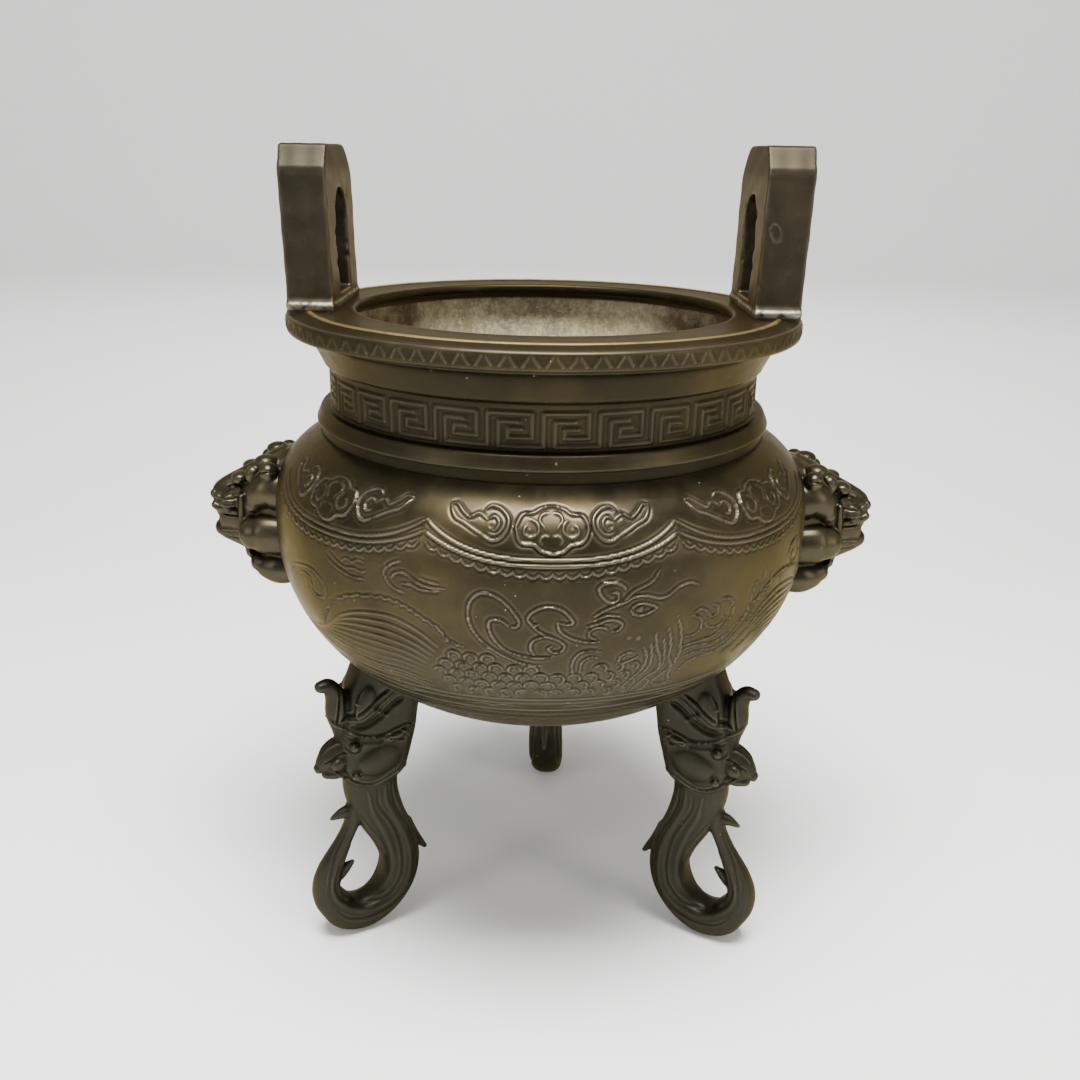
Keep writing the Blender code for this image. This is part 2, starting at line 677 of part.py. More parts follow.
def make_leg(name, azimuth, material):
    """A beast-headed leg whose neck curls outwards and closes into a ring."""
    trunk = drawn(
        [
            (70.0, 80.0, 9.6),
            (71.6, 66.0, 9.4),
            (71.6, 56.5, 9.2),
            (68.8, 47.5, 8.4),
            (64.4, 38.0, 7.6),
            (61.8, 28.0, 7.0),
            (63.6, 18.4, 6.8),
            (69.6, 10.4, 6.8),
            (77.6, 6.9, 6.9),
            (85.4, 9.0, 6.6),
            (90.4, 15.4, 6.0),
        ]
    )
    tail = drawn(
        [
            (86.6, 10.6, 6.0),
            (91.6, 18.6, 5.8),
            (92.6, 26.2, 4.8),
            (89.6, 34.0, 3.4),
            (84.6, 43.0, 2.6),
            (79.0, 51.5, 2.8),
        ]
    )
    horn = drawn([(83.0, 88.0, 3.4), (85.4, 97.0, 3.5), (84.4, 106.0, 3.2), (86.6, 110.9, 2.6), (89.6, 111.0, 1.6)])
    head_points = (
        (52.0, 104.0),
        (54.4, 91.0),
        (58.0, 75.0),
        (61.2, 63.6),
        (66.0, 60.6),
        (74.0, 58.4),
        (83.4, 67.6),
        (86.0, 78.0),
        (84.0, 88.0),
        (81.6, 103.0),
        (80.0, 122.0),
    )
    beak_points = ((80.0, 84.0), (84.0, 88.0), (88.8, 86.6), (92.6, 82.2), (92.8, 77.4), (89.2, 74.4), (82.0, 73.0))
    head = [leg_scale(*point) for point in head_points]
    beak = [leg_scale(*point) for point in beak_points]

    def flat(half):
        return min(0.5 * LEG_THICKNESS, 0.9 * half + 1.2 * LEG_UNIT)

    leg = sweep(name, trunk, 1, 8, flat)
    leg.data.materials.append(material)
    parts = [
        sweep("tail", tail, 1, 6, flat),
        sweep("horn", horn, 1, 6, lambda half: half),
        outline_loft("head", head, HEAD_THICKNESS, 0.16),
        outline_loft("beak", beak, 0.55 * HEAD_THICKNESS, 0.3),
        spur("spur_out", (78.0, 56.0), (89.2, 52.6), 3.2 * LEG_UNIT),
        spur("spur_in", (60.0, 38.0), (51.0, 30.0), 3.4 * LEG_UNIT),
        spur("spur_ring", (90.0, 26.0), (81.6, 30.0), 3.2 * LEG_UNIT),
    ]
    for side in (-1.0, 1.0):
        face = side * 0.5 * HEAD_THICKNESS
        parts.append(lump("eye", (78.6, 80.8), face - side * 0.8 * LEG_UNIT, (2.7 * LEG_UNIT, 2.0 * LEG_UNIT, 2.7 * LEG_UNIT)))
        parts.append(crease("brow", ((84.0, 89.0), (74.0, 86.4), (60.0, 88.4)), face, 2.2 * LEG_UNIT))
        parts.append(crease("crest", ((78.0, 90.5), (62.0, 105.0)), face, 3.0 * LEG_UNIT))
        parts.append(crease("jaw_line", ((82.0, 69.4), (73.0, 63.4), (62.6, 67.0)), face, 2.0 * LEG_UNIT))
    combine(leg, "UNION", parts)
    for vertex in leg.data.vertices:
        vertex.co.z -= FOOT_SINK
    combine(leg, "DIFFERENCE", [clearance_cutter("bowl_under"), floor_cutter()])
    bm = bmesh.new()
    bm.from_mesh(leg.data)
    bmesh.ops.rotate(bm, cent=(0, 0, 0), matrix=Matrix.Rotation(math.radians(azimuth - 90.0), 3, "Z"), verts=bm.verts)
    bm.to_mesh(leg.data)
    bm.free()
    return leg


def spur(name, root, tip, half):
    """A short pointed thorn from its root to its tip."""
    foot = Vector((leg_scale(*root)[0], 0.0, leg_scale(*root)[1]))
    point = Vector((leg_scale(*tip)[0], 0.0, leg_scale(*tip)[1]))
    along = (point - foot).normalized()
    side = Vector((along.z, 0.0, -along.x)) * half
    across = Vector((0.0, 0.8 * half, 0.0))
    bm = bmesh.new()
    base = [bm.verts.new(foot + offset) for offset in (side, across, -side, -across)]
    end = bm.verts.new(point)
    for index in range(4):
        bm.faces.new((base[index], base[(index + 1) % 4], end))
    bm.faces.new(reversed(base))
    return new_object(name, bm)


def lump(name, place, across, size):
    radius, height = leg_scale(*place)
    return blob(name, (radius, across, height), size)


def crease(name, path, face, width):
    """A raised rib on the head's side, along points drawn in the leg's plane."""
    outward = math.copysign(1.0, face)
    points = [Vector((leg_scale(*point)[0], face, leg_scale(*point)[1])) for point in path]
    rings = []
    for index, point in enumerate(points):
        along = (points[min(index + 1, len(points) - 1)] - points[max(index - 1, 0)]).normalized()
        side = Vector((along.z, 0.0, -along.x)) * 0.5 * width
        lift = Vector((0.0, outward * 1.0 * LEG_UNIT, 0.0))
        sink = Vector((0.0, -outward * 3.2 * LEG_UNIT, 0.0))
        rings.append((point + sink - side, point + lift - 0.4 * side, point + lift + 0.4 * side, point + sink + side))
    return loft(name, rings)


def floor_cutter():
    """Everything below the ground, so each foot stands on a small flat."""
    bm = bmesh.new()
    bmesh.ops.create_cube(bm, size=1.0)
    bmesh.ops.scale(bm, vec=(0.4, 0.4, 0.02), verts=bm.verts)
    bmesh.ops.translate(bm, vec=(0, 0, -0.01), verts=bm.verts)
    return new_object("floor", bm)


def main():
    clear_scene()
    dark = bronze("dark_bronze", (0.052, 0.042, 0.03), 0.38)
    brown = bronze("brown_bronze", (0.06, 0.044, 0.028), 0.4)
    pieces = [make_bowl(dark)]
    pieces.append(make_handle("handle_left", -1, LEFT_HANDLE_HEIGHT, brown))
    pieces.append(make_handle("handle_right", 1, RIGHT_HANDLE_HEIGHT, brown))
    pieces.append(make_mask("mask_left", -1, dark))
    pieces.append(make_mask("mask_right", 1, dark))
    for name, azimuth in LEG_AZIMUTHS.items():
        pieces.append(make_leg(name, azimuth, dark))
    for piece in pieces:
        shade(piece)
        print(piece.name, len(piece.data.vertices), "points")


main()
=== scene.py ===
# %% [markdown]
# # A tripod incense burner in cast bronze
# The real one was cast in several pieces: a hollow bowl, two loop handles, two lion masks and three
# beast-headed legs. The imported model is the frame. It fixes where each piece sits and how large it
# is, and this lesson gives each piece the skin that shows: its carving, its wear and its patina.

# %% Load the frame
import math

import bmesh
import bpy
import numpy as np
from mathutils import Matrix, Vector


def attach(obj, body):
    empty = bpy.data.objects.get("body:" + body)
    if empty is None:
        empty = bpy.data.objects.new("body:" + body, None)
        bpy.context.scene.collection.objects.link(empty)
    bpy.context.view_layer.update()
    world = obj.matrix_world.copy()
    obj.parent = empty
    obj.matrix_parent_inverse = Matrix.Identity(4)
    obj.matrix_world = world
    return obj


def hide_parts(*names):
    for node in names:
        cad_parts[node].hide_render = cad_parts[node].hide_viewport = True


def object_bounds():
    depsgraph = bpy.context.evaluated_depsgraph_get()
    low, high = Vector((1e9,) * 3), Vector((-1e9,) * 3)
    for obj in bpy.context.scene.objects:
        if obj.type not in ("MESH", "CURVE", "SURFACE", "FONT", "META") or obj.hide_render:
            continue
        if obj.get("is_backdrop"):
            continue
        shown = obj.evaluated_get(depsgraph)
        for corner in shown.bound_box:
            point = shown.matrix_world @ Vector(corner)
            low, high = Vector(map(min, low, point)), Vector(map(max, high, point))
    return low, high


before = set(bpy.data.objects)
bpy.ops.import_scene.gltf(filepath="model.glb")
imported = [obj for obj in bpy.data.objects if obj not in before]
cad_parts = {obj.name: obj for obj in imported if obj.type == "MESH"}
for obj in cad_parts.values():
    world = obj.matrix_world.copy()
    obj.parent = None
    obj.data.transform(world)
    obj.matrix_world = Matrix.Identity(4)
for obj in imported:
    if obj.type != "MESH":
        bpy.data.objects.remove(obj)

cad_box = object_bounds()
MM = 0.001
print("frame:", sorted(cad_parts), "up to", round(cad_box[1][2] / MM, 1), "mm")

# %% [markdown]
# ## Camera
# The photograph was taken from close by, a little above the rim. A near camera makes the front of
# the rim look wide and the legs look short, so the distance matters as much as the angle. These
# values were fitted to the ellipses of the rim and the neck.

# %% Camera
CAMERA_PLACE = (0.0, -0.3874, 0.2871)
CAMERA_DOWN = 19.79
CAMERA_ROLL = 1.02

camera_data = bpy.data.cameras.new("camera")
camera_data.sensor_width = 36.0
camera_data.lens = 35.72
camera_data.clip_start = 0.01
camera = bpy.data.objects.new("camera", camera_data)
camera.matrix_world = (
    Matrix.Translation(CAMERA_PLACE)
    @ Matrix.Rotation(math.radians(90.0 - CAMERA_DOWN), 4, "X")
    @ Matrix.Rotation(math.radians(CAMERA_ROLL), 4, "Z")
)
bpy.context.scene.collection.objects.link(camera)
bpy.context.scene.camera = camera
print("camera at", CAMERA_PLACE)

# %% [markdown]
# ## Shader arithmetic
# A finish is worked out from many small steps. Written as nodes that is hard to read, so a socket is
# wrapped in a class that adds the Math node for each operator. Colours go through Mix nodes instead,
# because a Math node would turn them grey.

# %% Sockets as values


class Flow:
    """One output of a node, which can be added, multiplied and so on."""

    def __init__(self, finish, socket):
        self.finish = finish
        self.socket = socket

    def maths(self, operation, first, second=None, clamp=False):
        values = {0: first} if second is None else {0: first, 1: second}
        return self.finish.node("Math", {"operation": operation, "use_clamp": clamp}, values)

    def __add__(self, other):
        return self.maths("ADD", self, other)

    def __sub__(self, other):
        return self.maths("SUBTRACT", self, other)

    def __rsub__(self, other):
        return self.maths("SUBTRACT", other, self)

    def __mul__(self, other):
        return self.maths("MULTIPLY", self, other)

    def __truediv__(self, other):
        return self.maths("DIVIDE", self, other)

    def __rtruediv__(self, other):
        return self.maths("DIVIDE", other, self)

    def __pow__(self, other):
        return self.maths("POWER", self, other)

    __radd__ = __add__
    __rmul__ = __mul__

    def held(self):
        """The value held between 0 and 1."""
        return self.maths("ADD", self, 0.0, clamp=True)

    def step(self, low, high):
        """0 below low, 1 above high, and a smooth rise between them."""
        settings = {"interpolation_type": "SMOOTHSTEP"}
        return self.finish.node("MapRange", settings, {0: self, 1: low, 2: high})

    def band(self, low, high, soft):
        """1 between low and high, with soft edges."""
        return self.step(low - soft, low + soft) * (1.0 - self.step(high - soft, high + soft))


class Finish:
    """A material with one Principled shader, and the nodes that feed it."""

    def __init__(self, name):
        self.material = bpy.data.materials.new(name)
        self.material.use_nodes = True
        self.tree = self.material.node_tree
        self.shader = self.tree.nodes["Principled BSDF"]
        self.place = self.node("TexCoord", output="Object")

    def node(self, kind, settings=None, values=None, output=0):
        made = self.tree.nodes.new("ShaderNode" + kind)
        for key, value in (settings or {}).items():
            if key == "stops":
                made.color_ramp.elements[1].position = value[-1][0]
                made.color_ramp.elements[1].color = (*value[-1][1], 1.0)
                made.color_ramp.elements[0].position = value[0][0]
                made.color_ramp.elements[0].color = (*value[0][1], 1.0)
                for place, colour in value[1:-1]:
                    made.color_ramp.elements.new(place).color = (*colour, 1.0)
            else:
                setattr(made, key, value)
        for key, value in (values or {}).items():
            self.feed(made.inputs[key], value)
        return Flow(self, made.outputs[output])

    def feed(self, socket, value):
        """Link a flow to a socket, or set a number or a colour on it."""
        if isinstance(value, Flow):
            self.tree.links.new(value.socket, socket)
        elif isinstance(value, tuple) and len(value) == 3 and socket.type == "RGBA":
            socket.default_value = (*value, 1.0)
        else:
            socket.default_value = value

    def noise(self, scale, detail=4.0, roughness=0.55, seed=0.0):
        settings = {"noise_dimensions": "4D"}
        values = {"Vector": self.place, "W": seed, "Scale": scale, "Detail": detail, "Roughness": roughness}
        return self.node("TexNoise", settings, values)

    def mix(self, share, first, second):
        """The first colour, with a share of the second over it."""
        settings = {"data_type": "RGBA"}
        return self.node("Mix", settings, {"Factor": share, 6: first, 7: second}, output=2)

    def mark(self, name):
        """A value that was stored on the mesh."""
        return self.node("Attribute", {"attribute_name": name}, output="Fac")


print("shader arithmetic is ready")

# %% [markdown]
# ## Bronze finishes
# Old bronze of this kind is coated, not bare: a dark brown-black skin, a little translucent, that
# people's hands have rubbed thin on every raised edge, while dust and wax stay in the hollows. So
# each mesh carries two marks, how much a point stands out and how deep it lies, and one recipe reads
# them. The noise is in Object coordinates, in metres, so a scale of 100 gives patches of about 1 cm.

# %% The recipe
BLACK_BROWN = (0.027, 0.0225, 0.0125)
WARM_BROWN = (0.056, 0.043, 0.0195)
RUBBED = (0.19, 0.17, 0.12)
SOOT = (0.006, 0.0048, 0.003)
PALE_DUST = (0.46, 0.41, 0.28)


class Bronze(Finish):
    """Patinated bronze, with rubbed edges, dark hollows and specks."""

    def __init__(self, name, dark, warm, shine, warmth=0.5, rubbed=0.6):
        super().__init__(name)
        spot = self.node("SeparateXYZ", None, {0: self.place})
        self.sideways = spot
        self.back = Flow(self, spot.socket.node.outputs["Y"])
        self.height = Flow(self, spot.socket.node.outputs["Z"])
        patches = self.noise(26.0, 3.0, 0.6, 1.0).step(0.60 - 0.22 * warmth, 0.78 - 0.14 * warmth)
        clouding = self.noise(120.0, 5.0, 0.65, 2.0)
        grain = self.noise(1500.0, 3.0, 0.7, 3.0)
        colour = self.mix(patches * 0.75, dark, warm)
        colour = self.mix(clouding.step(0.45, 0.75) * 0.35, colour, warm)
        colour = self.mix(grain.step(0.5, 0.8) * 0.3, colour, SOOT)
        worn = (self.mark("stands_out") * (0.35 + clouding * 0.9)).held()
        deep = self.mark("lies_deep").held()
        colour = self.mix(worn * rubbed, colour, RUBBED)
        colour = self.mix(deep * 0.7, colour, SOOT)
        specks = self.noise(560.0, 1.0, 0.4, 4.0).step(0.75, 0.78)
        specks = specks * self.noise(60.0, 2.0, 0.5, 5.0).step(0.5, 0.6)
        self.colour = self.mix(specks * 0.55, colour, PALE_DUST)
        self.metal = 0.84 - specks * 0.6 - deep * 0.3
        rough = shine + clouding.step(0.3, 0.8) * 0.12 + deep * 0.25 + grain * 0.05 - worn * 0.04
        self.rough = rough + specks * 0.3
        settings = {"Strength": 0.22, "Distance": 0.0004, "Height": clouding * 0.6 + grain * 0.25}
        self.feed(self.shader.inputs["Normal"], self.node("Bump", None, settings))

    def over(self, share, colour, metal=None, rough=None):
        """Lay a colour over what is there, and a little of its own metal and roughness."""
        self.colour = self.mix(share, self.colour, colour)
        if metal is not None:
            self.metal = self.metal + share * (metal - self.metal)
        if rough is not None:
            self.rough = self.rough + share * (rough - self.rough)

    def settle(self):
        self.feed(self.shader.inputs["Base Color"], self.colour)
        self.feed(self.shader.inputs["Metallic"], self.metal)
        self.feed(self.shader.inputs["Roughness"], self.rough)
        self.shader.inputs["IOR"].default_value = 1.5
        # Seen edge on, an old skin stays brown, where clean metal would turn white
        self.shader.inputs["Specular Tint"].default_value = (0.60, 0.53, 0.38, 1.0)
        print("finish:", self.material.name, len(self.tree.nodes), "nodes")
        return self.material


# %% Finishes of the pieces


def belly_finish():
    """The flanks carry a painted warm reflection, and the lower belly a painted grey reflection of the shelf."""
    finish = Bronze("belly bronze", BLACK_BROWN, WARM_BROWN, 0.28, 0.6)
    flank = finish.node("Math", {"operation": "ABSOLUTE"}, {0: finish.sideways}).step(0.066, 0.096)
    # Painted reflection of warm surroundings, laid on the flanks as a golden sheen
    painted_warm_reflection = flank * finish.height.band(0.105, 0.172, 0.012)
    finish.over(painted_warm_reflection * finish.noise(40.0, 4.0, 0.6, 6.0).step(0.3, 0.7) * 0.5, (0.15, 0.12, 0.055))
    # Painted reflection: the pale shelf mirrored in the lower belly, laid on as grey
    low = 1.0 - finish.height.step(0.118, 0.150)
    finish.over(low * 0.5, (0.047, 0.048, 0.042))
    return finish.settle()


def handle_finish():
    """Handles are browner on their inner sides, have a line of old solder at the foot, and painted shade on their
    tops.
    """
    finish = Bronze("handle bronze", (0.032, 0.027, 0.0185), (0.058, 0.045, 0.028), 0.34, 0.45)
    inner = 1.0 - finish.node("Math", {"operation": "ABSOLUTE"}, {0: finish.sideways}).step(0.0700, 0.0722)
    finish.over(inner * 0.6, (0.085, 0.052, 0.022))
    solder = (1.0 - finish.height.step(0.2388, 0.2398)) * finish.height.step(0.2366, 0.2376)
    # Painted shade: the tops are darkened and roughened to tone down the overhead light on them
    tops = finish.height.step(0.2780, 0.2840)
    finish.over(tops * 0.7, (0.016, 0.0135, 0.0095), None, 0.52)
    finish.over(solder * finish.noise(300.0, 3.0, 0.6, 8.0).step(0.35, 0.6) * 0.6, (0.36, 0.35, 0.28))
    return finish.settle()


def rim_finish():
    """The outside is like the belly, with painted shade below the ring and on the neck. The top has painted shade,
    the ridge is rubbed to gold, and the inside is pale, partly stained, set brighter as painted light, with painted
    shadow under the lip.
    """
    finish = Bronze("rim bronze", BLACK_BROWN, WARM_BROWN, 0.33, 0.55, 0.5)
    radius = (finish.sideways * finish.sideways + finish.back * finish.back) ** 0.5
    top = finish.height.step(0.2350, 0.2356)
    # Painted shade: darker below the jutting ring, and more lightly on the neck and the cove under the rim
    painted_shade_bands = finish.height.band(0.1939, 0.1977, 0.0006) + finish.height.band(0.2035, 0.2294, 0.004) * 0.45
    finish.over(painted_shade_bands.held() * (1.0 - top) * 0.75, (0.012, 0.0098, 0.006))
    dish = top * (1.0 - radius.step(0.0808, 0.0816))
    # Painted shade: the top is darkened and roughened to tone down the overhead light on it
    finish.over(top * (1.0 - radius.step(0.0885, 0.0893)) * 0.7, (0.020, 0.015, 0.008), None, 0.48)
    finish.over(dish * 0.6, (0.024, 0.016, 0.007))
    broken = finish.noise(45.0, 4.0, 0.7, 9.0).step(0.34, 0.6)
    finish.over(top * radius.band(0.0817, 0.0833, 0.0003) * (0.25 + broken * 0.75), (0.62, 0.46, 0.2), 0.95, 0.28)
    finish.over(top * radius.step(0.0885, 0.0893) * 0.3, (0.2, 0.18, 0.13))
    inside = (1.0 - radius.step(0.0738, 0.0744)) * (1.0 - finish.height.step(0.2320, 0.2328))
    stain = finish.noise(48.0, 6.0, 0.72, 10.0)
    crumb = finish.noise(330.0, 5.0, 0.75, 11.0)
    # The pale crust is the wall's own colour, set brighter as painted light for the overhead spots that light it
    wall = finish.mix(stain.step(0.40, 0.60), (0.80, 0.70, 0.42), (0.46, 0.40, 0.25))
    wall = finish.mix(crumb.step(0.47, 0.60) * 0.85, wall, (0.95, 0.87, 0.62))
    wall = finish.mix(finish.noise(700.0, 3.0, 0.7, 12.0).step(0.5, 0.62) * 0.3, wall, (0.16, 0.13, 0.07))
    # Painted shadow: brown just under the inward lip, and toward the sides partly a real stain and partly painted
    # shade
    ends = finish.node("Math", {"operation": "ABSOLUTE"}, {0: finish.sideways}).step(0.030, 0.060)
    brown = (ends * (stain * 1.6)).held() + finish.height.step(0.2296, 0.2308)
    finish.over(inside, finish.mix(brown.held(), wall, (0.085, 0.052, 0.024)), 0.0, 0.6)
    return finish.settle()


belly_bronze = belly_finish()
handle_bronze = handle_finish()
rim_bronze = rim_finish()
leg_bronze = Bronze("leg bronze", (0.021, 0.0195, 0.0145), (0.036, 0.032, 0.022), 0.4, 0.35, 0.4).settle()
mask_bronze = Bronze("mask bronze", (0.038, 0.033, 0.021), (0.074, 0.056, 0.029), 0.26, 0.5, 0.4).settle()

# %% [markdown]
# ## Relief from strokes
# The carving is threads, mounds and cut lines in low relief. Each could be a mesh of its own, but
# then it would float on the skin or cut through it. Here a stroke is a path over the surface, and
# each point of a fine skin is lifted by how near it lies to the path, so the relief and the wall are
# one skin, as in a casting. Paths are (across, along): degrees and mm round the bowl, or mm and mm
# on a flat side.

# %% Strokes


def curve(points, steps=6):
    """A smooth path through the points."""
    points = np.asarray(points, float)
    padded = np.vstack([2 * points[0] - points[1], points, 2 * points[-1] - points[-2]])
    made = []
    for before, start, end, after in zip(padded, padded[1:], padded[2:], padded[3:]):
        for share in np.linspace(0.0, 1.0, steps, endpoint=False):
            square, cube = share**2, share**3
            made.append(
                0.5
                * (
                    2 * start
                    + (end - before) * share
                    + (2 * before - 5 * start + 4 * end - after) * square
                    + (3 * start - before - 3 * end + after) * cube
                )
            )
    made.append(points[-1])
    return np.array(made)


class Carving:
    """Relief in mm over the points of a skin."""

    def __init__(self, across, along, stretch):
        self.across = across
        self.along = along
        self.stretch = np.broadcast_to(stretch, along.shape)
        self.least = float(self.stretch.min())
        self.rise = np.zeros(len(along))
        self.cut = np.zeros(len(along))

    def near(self, path, reach):
        """The points near a path, their distance from it, and how far along it they lie, from 0 to 1."""
        path = np.asarray(path, float)
        middle = path[:, 0].mean()
        turned = (self.across - middle + 180.0) % 360.0 - 180.0
        low, high = path.min(0), path.max(0)
        side = reach / self.least
        chosen = np.flatnonzero(
            (turned > low[0] - middle - side)
            & (turned < high[0] - middle + side)
            & (self.along > low[1] - reach)
            & (self.along < high[1] + reach)
        )
        x, y, wide = turned[chosen], self.along[chosen], self.stretch[chosen]
        best = np.full(len(chosen), 1e9)
        share = np.zeros(len(chosen))
        for index, (start, end) in enumerate(zip(path, path[1:])):
            run_x, run_y = (end[0] - start[0]) * wide, end[1] - start[1]
            from_x, from_y = (x - start[0] + middle) * wide, y - start[1]
            part = np.clip((from_x * run_x + from_y * run_y) / (run_x**2 + run_y**2 + 1e-9), 0.0, 1.0)
            gap = np.hypot(from_x - part * run_x, from_y - part * run_y)
            closer = gap < best
            best = np.where(closer, gap, best)
            share = np.where(closer, (index + part) / (len(path) - 1), share)
        return chosen, best, share

    def thread(self, path, width, height, taper=0.12, beside=0.0, soft=False):
        """A raised line. It narrows at its ends, and beside cuts a groove of that depth along it."""
        chosen, gap, share = self.near(path, width + 1.5)
        ends = np.clip(np.minimum(share, 1.0 - share) / max(taper, 1e-6), 0.0, 1.0) ** 0.6
        half = 0.5 * width * (0.25 + 0.75 * ends) if taper else np.full(len(gap), 0.5 * width)
        ratio = np.clip(gap / half, 0.0, 1.0)
        body = 0.5 + 0.5 * np.cos(math.pi * ratio) if soft else np.sqrt(1.0 - ratio**2)
        self.rise[chosen] = np.maximum(self.rise[chosen], height * body * (0.4 + 0.6 * ends))
        if beside:
            groove = beside * np.exp(-(((gap - half - 0.25) / 0.42) ** 2)) * (gap > 0.6 * half) * ends
            self.cut[chosen] = np.maximum(self.cut[chosen], groove)

    def groove(self, path, width, depth, taper=0.1):
        """A cut line, narrow at its ends."""
        chosen, gap, share = self.near(path, width + 0.5)
        ends = np.clip(np.minimum(share, 1.0 - share) / max(taper, 1e-6), 0.0, 1.0) ** 0.6
        half = 0.5 * width * (0.3 + 0.7 * ends)
        body = 0.5 + 0.5 * np.cos(math.pi * np.clip(gap / half, 0.0, 1.0))
        self.cut[chosen] = np.maximum(self.cut[chosen], depth * body * ends)

    def mound(self, outline, height, edge):
        """A raised figure with a rounded edge of that width."""
        ring = np.vstack([outline, outline[:1]])
        chosen, gap, _ = self.near(ring, 1.0)
        middle = ring[:, 0].mean()
        x = (self.across[chosen] - middle + 180.0) % 360.0 - 180.0
        y = self.along[chosen]
        inside = np.zeros(len(chosen), bool)
        for start, end in zip(ring, ring[1:]):
            crosses = (start[1] > y) != (end[1] > y)
            at = (start[0] - middle) + (y - start[1]) * (end[0] - start[0]) / (end[1] - start[1] + 1e-12)
            inside ^= crosses & (x < at)
        body = np.sin(0.5 * math.pi * np.clip(gap / edge, 0.0, 1.0)) * inside
        self.rise[chosen] = np.maximum(self.rise[chosen], height * body)

    def relief(self):
        return self.rise - self.cut * np.clip(1.0 - self.rise / 0.3, 0.0, 1.0)


def coil(centre, radius, start, turns, wide, inner=0.2, steps=14):
    """A spiral from its outside inwards. Radius is in mm, and wide is mm for one unit across."""
    made = []
    count = max(6, int(abs(turns) * steps))
    for step in range(count + 1):
        share = step / count
        angle = math.radians(start) + turns * math.tau * share
        reach = radius * (1.0 - (1.0 - inner) * share)
        made.append((centre[0] + reach * math.cos(angle) / wide, centre[1] + reach * math.sin(angle)))
    return np.array(made)


print("strokes are ready")

# %% [markdown]
# ## Helpers for meshes
# Points of a fine mesh are read and written as whole arrays, because a loop over 100,000 points in
# Python takes minutes. The marks for wear come from the skin's own curvature: where a point stands
# above its neighbours hands have rubbed it, and where it lies below them dirt has stayed.

# %% Mesh helpers


def points_of(mesh):
    found = np.empty(len(mesh.vertices) * 3)
    mesh.vertices.foreach_get("co", found)
    return found.reshape(-1, 3)


def normals_of(mesh):
    found = np.empty(len(mesh.vertices) * 3)
    mesh.vertex_normals.foreach_get("vector", found)
    return found.reshape(-1, 3)


def move_points(mesh, places):
    mesh.vertices.foreach_set("co", np.ascontiguousarray(places, float).ravel())
    mesh.update()


def neighbours_mean(mesh, values):
    """Each point's mean over its neighbours, for one value or three."""
    edges = np.empty(len(mesh.edges) * 2, np.int32)
    mesh.edges.foreach_get("vertices", edges)
    edges = edges.reshape(-1, 2)
    count = len(mesh.vertices)
    near = np.bincount(edges[:, 0], minlength=count) + np.bincount(edges[:, 1], minlength=count)
    columns = values.reshape(count, -1).T
    sums = [
        np.bincount(edges[:, 0], column[edges[:, 1]], count) + np.bincount(edges[:, 1], column[edges[:, 0]], count)
        for column in columns
    ]
    return (np.array(sums) / np.maximum(near, 1)).T.reshape(values.shape)


def mark_wear(mesh, full=0.55, seam_at=None):
    """Store how much each point stands out or lies deep. Full is the curvature, per mm, of a full mark.

    Points for which seam_at is true lie on a join, and take the mark of the points beside it.
    """
    places = points_of(mesh) / MM
    middle = neighbours_mean(mesh, places)
    span = neighbours_mean(mesh, (places**2).sum(1)) - 2.0 * (places * middle).sum(1) + (places**2).sum(1)
    bend = -2.0 * ((middle - places) * normals_of(mesh)).sum(1) / np.maximum(span, 0.02)
    if seam_at is not None:
        sound = ~seam_at
        beside = neighbours_mean(mesh, bend * sound) / np.maximum(neighbours_mean(mesh, sound * 1.0), 1e-6)
        bend = np.where(seam_at, beside, bend)
    bend = 0.5 * bend + 0.5 * neighbours_mean(mesh, bend)
    for name, values in (("stands_out", bend / full), ("lies_deep", -bend / full)):
        layer = mesh.attributes.new(name, "FLOAT", "POINT")
        layer.data.foreach_set("value", np.clip(values, 0.0, 1.0).astype(np.float32))


def with_modifiers(name, mesh, *modifiers):
    """The mesh with modifiers applied. Each is a kind and its settings."""
    holder = bpy.data.objects.new(name, mesh)
    bpy.context.scene.collection.objects.link(holder)
    for kind, settings in modifiers:
        modifier = holder.modifiers.new(kind.lower(), kind)
        for key, value in settings.items():
            setattr(modifier, key, value)
    bpy.context.view_layer.update()
    made = bpy.data.meshes.new_from_object(holder.evaluated_get(bpy.context.evaluated_depsgraph_get()))
    bpy.data.objects.remove(holder, do_unlink=True)
    bpy.data.meshes.remove(mesh)
    return made


def thinned(name, mesh, triangles):
    """Fewer triangles, taken from where the skin is nearly flat."""
    mesh.calc_loop_triangles()
    ratio = triangles / len(mesh.loop_triangles)
    return with_modifiers(name, mesh, ("DECIMATE", {"ratio": ratio})) if ratio < 1.0 else mesh


def finished(name, mesh, material, slot, *nodes, angle=60.0):
    """Make the piece's object, smooth it, give it its finish and fix it to the frame."""
    mesh.materials.clear()
    mesh.materials.append(material)
    mesh.shade_smooth()
    mesh.set_sharp_from_angle(angle=math.radians(angle))
    piece = bpy.data.objects.new(name, mesh)
    bpy.context.scene.collection.objects.link(piece)
    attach(piece, "root")
    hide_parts(*nodes)
    mesh.calc_loop_triangles()
    print(name + ":", len(mesh.loop_triangles), "triangles")
    return piece


# %% [markdown]
# ## The bowl's wall
# A caster sweeps the bowl's core and mould with a profile board, so the wall is a turned shape. The
# profile is spun round the axis. Columns are packed closer in front, where the carving is finest,
# by moving each column a little towards the front after the spin.

# %% Sizes of the bowl, in mm
FOOT_LEVEL = 85.6
BELLY_LEVEL = 159.4
BELLY_RADIUS = 97.6
BELLY_DEPTH = 73.8
BELLY_ROUNDNESS = 2.03
SHOULDER_CROWN = 42.8
SHOULDER_ROUNDNESS = 3.3
SHOULDER_END = 193.8
WALL = 3.5
LAST_GROOVE = 112.6
SHOULDER_FOOT = 169.4
FRONT_PACKING = 0.6


